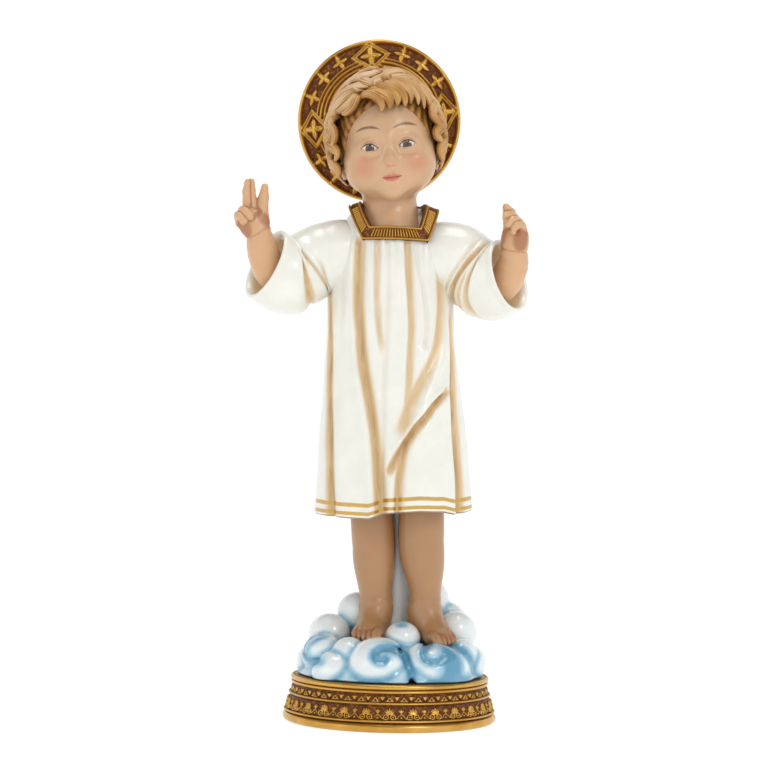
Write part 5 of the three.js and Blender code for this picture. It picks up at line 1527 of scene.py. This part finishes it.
def pearl_cloth(group):
    """White pearl paint with ochre in the folds (partly the statue's wash, partly painted shade), dark brown
    painted shade in the hollow under the hem, and two gold lines over the hem.
    """
    material, tree, shader = new_paint("pearl_cloth", **{"Coat Weight": 0.35, "Coat Roughness": 0.16,
                                                         "Sheen Weight": 0.12})
    surface = group_node(tree, group, places(tree))
    wash_and_shade = mark(tree, "wash_and_shade")
    streaks = grain(tree, lay(tree, "ShaderNodeMapping", {"Vector": places(tree), "Scale": (420, 420, 60)})
                    .outputs[0], 1.0, 3)
    wash_and_shade = sums(tree, "MULTIPLY", wash_and_shade, eased(tree, streaks, 0.25, 0.7, 0.78, 1.12))
    white = mixed(tree, surface.outputs["Mottle"], rgb(0.82, 0.815, 0.74), rgb(0.87, 0.865, 0.79))
    # ochre, then deep brown, where the folds lie: painted shade, partly the statue's wash
    ochre = mixed(tree, eased(tree, wash_and_shade, 0.02, 0.62), white, rgb(0.71, 0.52, 0.29))
    ochre = mixed(tree, eased(tree, wash_and_shade, 0.55, 1.15), ochre, rgb(0.46, 0.28, 0.105))
    above = mark(tree, "above_hem")
    wander = sums(tree, "MULTIPLY_ADD", grain(tree, places(tree), 150, 2), 0.5, above)
    gold = None
    for middle, half in GOLD_LINES:
        off = sums(tree, "ABSOLUTE", sums(tree, "SUBTRACT", wander, middle + 0.25))
        line = eased(tree, off, half, half * 0.72)
        gold = line if gold is None else sums(tree, "MAXIMUM", gold, line)
    # dark brown painted shade inside the hollow under the hem
    within = eased(tree, above, -0.5, -2.2)
    colour = mixed(tree, within, ochre, rgb(0.36, 0.235, 0.12))
    colour = mixed(tree, gold, colour, rgb(0.60, 0.37, 0.09))
    tree.links.new(sums(tree, "MULTIPLY", gold, 0.8), shader.inputs["Metallic"])
    rough = eased(tree, surface.outputs["Mottle"], 0, 1, 0.36, 0.28)
    finish_with(tree, shader, surface.outputs["Height"], 0.35, 0.0004, colour, rough)
    return material


def face_lines():
    """Painted brows and lash lines, and a soft brown line in the lid crease that is partly painted line and
    partly painted shade, as masks worked out in the head's own mm.
    """
    tree, given, made = group_of("face_lines", [("Vector", "NodeSocketVector")],
                                 [("Brow", "NodeSocketFloat"), ("Lash", "NodeSocketFloat"),
                                  ("LidCreaseShade", "NodeSocketFloat")])
    parts = lay(tree, "ShaderNodeSeparateXYZ", {0: given.outputs["Vector"]}).outputs
    u = sums(tree, "SUBTRACT", sums(tree, "ABSOLUTE", parts["X"]), EYE_X)
    front = eased(tree, parts["Y"], -10.0, -12.0)

    def arc_mask(middle, bow, lean, thick, half, soft):
        bend = sums(tree, "MULTIPLY", sums(tree, "MULTIPLY", u, u), -bow)
        line = sums(tree, "MULTIPLY_ADD", u, lean, sums(tree, "ADD", bend, middle))
        off = sums(tree, "ABSOLUTE", sums(tree, "SUBTRACT", parts["Z"], line))
        thin = eased(tree, sums(tree, "ABSOLUTE", u), half * 0.35, half, 1.0, 0.25)
        reach = sums(tree, "DIVIDE", off, thin)
        body = eased(tree, reach, thick + soft, thick * 0.6)
        ends = eased(tree, sums(tree, "ABSOLUTE", u), half, half - 0.7)
        return sums(tree, "MULTIPLY", sums(tree, "MULTIPLY", body, ends), front)

    lash_bow = LID_UP / LID_HALF ** 2
    tree.links.new(arc_mask(4.9, 0.050, 0.03, 0.42, 5.6, 0.5), made.inputs["Brow"])
    tree.links.new(arc_mask(EYE_Z + LID_UP + 0.12, lash_bow, 0.07, 0.26, 4.3, 0.22), made.inputs["Lash"])
    # a soft line in the pressed lid crease: partly painted lid line, partly painted shade
    tree.links.new(arc_mask(EYE_Z + 2.9, 0.13, 0.07, 0.2, 4.2, 0.5), made.inputs["LidCreaseShade"])
    return tree


def skin_paint(name, group, lines, base, warm):
    material, tree, shader = new_paint(name, **{"Coat Weight": 0.25, "Coat Roughness": 0.2,
                                                "Subsurface Weight": 0.0})
    surface = group_node(tree, group, places(tree))
    colour = mixed(tree, surface.outputs["Mottle"], rgb(*base), rgb(*(v * 1.06 for v in base)))
    colour = mixed(tree, eased(tree, mark(tree, "blush"), 0.0, 1.0, 0.0, 0.55), colour, rgb(*warm))
    # warm brown in the creases: painted shade, partly the statue's wash
    crease_shade = eased(tree, mark(tree, "crease"), 0.12, 0.75, 0.0, 0.8)
    colour = mixed(tree, crease_shade, colour, rgb(0.36, 0.13, 0.055))
    colour = mixed(tree, eased(tree, mark(tree, "lip"), 0.1, 0.9, 0.0, 0.85), colour, rgb(0.58, 0.13, 0.09))
    colour = mixed(tree, eased(tree, mark(tree, "mouth"), 0.3, 0.9, 0.0, 0.9), colour, rgb(0.20, 0.04, 0.03))
    painted = group_node(tree, lines, mark(tree, "in_head", "Vector"))
    # soft brown in the lid crease: painted shade, partly a painted lid line
    colour = mixed(tree, eased(tree, painted.outputs["LidCreaseShade"], 0, 1, 0, 0.6), colour, rgb(0.42, 0.19, 0.10))
    hairs = grain(tree, lay(tree, "ShaderNodeMapping", {"Vector": mark(tree, "in_head", "Vector"),
                                                        "Scale": (1.6, 1, 4.5)}).outputs[0], 1.3, 2)
    brow = sums(tree, "MULTIPLY", painted.outputs["Brow"], eased(tree, hairs, 0.3, 0.6, 0.72, 1.0))
    colour = mixed(tree, brow, colour, rgb(0.19, 0.085, 0.03))
    colour = mixed(tree, painted.outputs["Lash"], colour, rgb(0.045, 0.018, 0.01))
    rough = eased(tree, surface.outputs["Mottle"], 0, 1, 0.42, 0.34)
    finish_with(tree, shader, surface.outputs["Height"], 0.16, 0.0003, colour, rough)
    return material


def eye_paint():
    material, tree, shader = new_paint("eye_paint", **{"Coat Weight": 1.0, "Coat Roughness": 0.03})
    parts = lay(tree, "ShaderNodeSeparateXYZ", {0: mark(tree, "in_eye", "Vector")}).outputs
    down = sums(tree, "ADD", parts["Z"], 0.25)
    reach = sums(tree, "SQRT", sums(tree, "MULTIPLY_ADD", down, down,
                                    sums(tree, "MULTIPLY", parts["X"], parts["X"])))
    front = eased(tree, parts["Y"], 0.0, -1.0)
    veins = grain(tree, mark(tree, "in_eye", "Vector"), 0.9, 3)
    white = mixed(tree, eased(tree, veins, 0.35, 0.7), rgb(0.72, 0.66, 0.58), rgb(0.80, 0.76, 0.70))
    iris = mixed(tree, eased(tree, reach, 1.0, 1.9), rgb(0.085, 0.035, 0.018), rgb(0.03, 0.013, 0.008))
    colour = mixed(tree, sums(tree, "MULTIPLY", eased(tree, reach, 2.05, 1.9), front), white, iris)
    colour = mixed(tree, sums(tree, "MULTIPLY", eased(tree, reach, 1.0, 0.85), front), colour,
                   rgb(0.008, 0.005, 0.004))
    tree.links.new(colour, shader.inputs["Base Color"])
    tree.links.new(eased(tree, veins, 0, 1, 0.18, 0.12), shader.inputs["Roughness"])
    return material


def hair_paint(group):
    material, tree, shader = new_paint("hair_paint", **{"Coat Weight": 0.1, "Coat Roughness": 0.25,
                                                        "Specular IOR Level": 0.3})
    surface = group_node(tree, group, places(tree))
    strand = mark(tree, "strand")
    golden = mixed(tree, surface.outputs["Mottle"], rgb(0.40, 0.165, 0.022), rgb(0.47, 0.22, 0.04))
    # near black painted shade in the grooves and between the locks, golden paint on the body of the locks
    colour = mixed(tree, eased(tree, strand, 0.08, 0.55), rgb(0.075, 0.021, 0.003), golden)
    # pale gold painted highlight on the crests
    colour = mixed(tree, eased(tree, strand, 0.5, 0.95, 0, 0.75), colour, rgb(0.66, 0.38, 0.12))
    # cream painted highlight on the crests of the locks that carry it
    pale = sums(tree, "MULTIPLY", eased(tree, strand, 0.3, 0.85), mark(tree, "pale_highlight"))
    colour = mixed(tree, pale, colour, rgb(0.74, 0.53, 0.34))
    rough = eased(tree, strand, 0, 1, 0.5, 0.33)
    finish_with(tree, shader, surface.outputs["Height"], 0.3, 0.0003, colour, rough)
    return material


def cloud_paint(group):
    material, tree, shader = new_paint("cloud_paint", **{"Coat Weight": 0.8, "Coat Roughness": 0.09})
    surface = group_node(tree, group, places(tree))
    blue = sums(tree, "MULTIPLY", mark(tree, "blue"),
                eased(tree, grain(tree, places(tree), 90, 3), 0.2, 0.75, 0.85, 1.12))
    white = mixed(tree, surface.outputs["Mottle"], rgb(0.76, 0.82, 0.815), rgb(0.83, 0.87, 0.86))
    colour = mixed(tree, eased(tree, blue, 0.03, 0.6), white, rgb(0.34, 0.57, 0.70))
    colour = mixed(tree, eased(tree, blue, 0.5, 1.1), colour, rgb(0.09, 0.30, 0.46))
    rough = eased(tree, surface.outputs["Mottle"], 0, 1, 0.3, 0.22)
    finish_with(tree, shader, surface.outputs["Height"], 0.2, 0.0004, colour, rough)
    return material


def antique_gold(group):
    material, tree, shader = new_paint("antique_gold", **{"Coat Weight": 0.06, "Coat Roughness": 0.2,
                                                          "Specular IOR Level": 0.3})
    surface = group_node(tree, group, places(tree))
    # brown in the hollows: partly the gilding's own patina, partly painted shade, with worn nicks
    patina_and_shade = sums(tree, "MULTIPLY_ADD", surface.outputs["Mottle"], 0.16, mark(tree, "patina_and_shade"))
    squeezed = lay(tree, "ShaderNodeMapping", {"Vector": places(tree), "Scale": (1, 1, 2.2)}).outputs[0]
    nicks = eased(tree, grain(tree, squeezed, 240, 2, 0.7), 0.71, 0.76)
    patina_and_shade = sums(tree, "MAXIMUM", patina_and_shade, nicks)
    strokes = eased(tree, grain(tree, places(tree), 620, 4, 0.7, 0.6), 0.46, 0.7)
    patina = mixed(tree, strokes, rgb(0.115, 0.028, 0.004), rgb(0.34, 0.135, 0.018))
    gold = mixed(tree, surface.outputs["Mottle"], rgb(0.56, 0.30, 0.055), rgb(0.68, 0.40, 0.09))
    colour = mixed(tree, eased(tree, patina_and_shade, 0.2, 0.85), gold, patina)
    tree.links.new(eased(tree, patina_and_shade, 0.25, 0.9, 0.92, 0.3), shader.inputs["Metallic"])
    rough = eased(tree, patina_and_shade, 0, 1, 0.30, 0.55)
    finish_with(tree, shader, surface.outputs["Height"], 0.4, 0.0004, colour, rough)
    return material


def floor_paint():
    material, tree, shader = new_paint("pale_floor", **{"Specular IOR Level": 0.2})
    cloudy = grain(tree, places(tree), 1.5, 2)
    pale = mixed(tree, cloudy, rgb(0.32, 0.32, 0.32), rgb(0.34, 0.34, 0.34))
    tree.links.new(pale, shader.inputs["Base Color"])
    shader.inputs["Roughness"].default_value = 0.85
    shader.inputs["Emission Color"].default_value = rgb(1, 1, 1)
    shader.inputs["Emission Strength"].default_value = 0.80
    return material


# The stage

def make_floor():
    """One pale sheet: flat under the object and curved up far behind and around it."""
    turn = np.linspace(0, 2 * np.pi, 96, endpoint=False)
    rows = [(r, 0.0) for r in (0.02, 0.4, 1.0, 2.0, 3.0)]
    rows += [(3.0 + 2.5 * math.sin(a), 2.5 - 2.5 * math.cos(a)) for a in np.linspace(0.15, math.pi / 2, 12)]
    rows += [(5.5, 4.0)]
    rings = np.array([[(r * math.cos(a), r * math.sin(a), z) for a in turn] for r, z in rows]) / MM
    points, quads, triangles = skin_of_rings(rings, caps=(True, False))
    floor = mesh_piece("floor", points, quads[:, ::-1], triangles[:, ::-1])
    return floor


def soft_light(name, place, aim, size, power, tint=(1, 1, 1)):
    data = bpy.data.lights.new(name, "AREA")
    data.shape, data.size, data.energy, data.color = "DISK", size, power, tint
    obj = bpy.data.objects.new(name, data)
    obj.location = place
    obj.rotation_euler = (Vector(aim) - Vector(place)).to_track_quat("-Z", "Y").to_euler()
    bpy.context.scene.collection.objects.link(obj)
    return obj


def make_stage():
    floor = make_floor()
    floor.data.materials.append(floor_paint())
    camera = bpy.data.cameras.new("photo_camera")
    camera.lens, camera.sensor_width = 122.9, 36
    eye = bpy.data.objects.new("photo_camera", camera)
    eye.location = (-0.005, -1.150, 0.1472)
    level, roll = Matrix.Rotation(math.pi / 2, 3, "X"), Matrix.Rotation(math.radians(1.1), 3, "Z")
    eye.rotation_euler = (level @ roll).to_euler()
    bpy.context.scene.collection.objects.link(eye)
    bpy.context.scene.camera = eye
    soft_light("key_light", (1.0, -1.5, 1.35), (0, 0, 0.16), 0.6, 7.0)
    soft_light("fill_light", (-1.6, -1.2, 0.8), (0, 0, 0.16), 1.0, 1.6)
    soft_light("top_light", (0, 0.1, 1.9), (0, 0, 0.1), 1.0, 12)
    world = bpy.data.worlds.new("pale_room")
    world.use_nodes = True
    world.node_tree.nodes["Background"].inputs["Color"].default_value = rgb(0.93, 0.95, 0.97)
    world.node_tree.nodes["Background"].inputs["Strength"].default_value = 0.26
    bpy.context.scene.world = world
    bpy.context.scene.view_settings.view_transform = "Standard"


def main():
    cast = cast_surface()
    cloth, cloud, hair, gold = pearl_cloth(cast), cloud_paint(cast), hair_paint(cast), antique_gold(cast)
    lines = face_lines()
    face = skin_paint("face_paint", cast, lines, (0.60, 0.37, 0.205), (0.58, 0.20, 0.11))
    # the legs get a darker copy of the skin paint: painted shade for the shadow the tunic casts on them
    shaded_shins = skin_paint("shaded_leg_paint", cast, lines, (0.42, 0.225, 0.10), (0.40, 0.16, 0.07))
    limbs = skin_paint("limb_paint", cast, lines, (0.635, 0.375, 0.195), (0.58, 0.25, 0.12))
    eyes = eye_paint()
    pieces = [
        (make_tunic(), cloth, "pearl_paint"), (make_sleeve("right"), cloth, "pearl_paint"),
        (make_sleeve("left"), cloth, "pearl_paint"), (make_collar(), gold, "antique_gold"),
        (make_head(), face, "skin_paint"), (make_eye(-1), eyes, "skin_paint"),
        (make_eye(1), eyes, "skin_paint"),
        (make_hair(), hair, "hair_paint"),
        (make_hand("right"), limbs, "skin_paint"), (make_hand("left"), limbs, "skin_paint"),
        (make_leg("right"), shaded_shins, "skin_paint"), (make_leg("left"), shaded_shins, "skin_paint"),
        (make_cloud(), cloud, "cloud_paint"),
    ]
    for piece, paint, slot in pieces:
        piece.data.materials.append(paint)
        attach(piece, "root")
        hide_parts("child_figure")
    for piece in [make_halo(), *make_plinth()]:
        piece.data.materials.append(gold)
        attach(piece, "root")
        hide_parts("halo" if piece.name == "halo_disc" else "plinth")
    make_stage()


main()
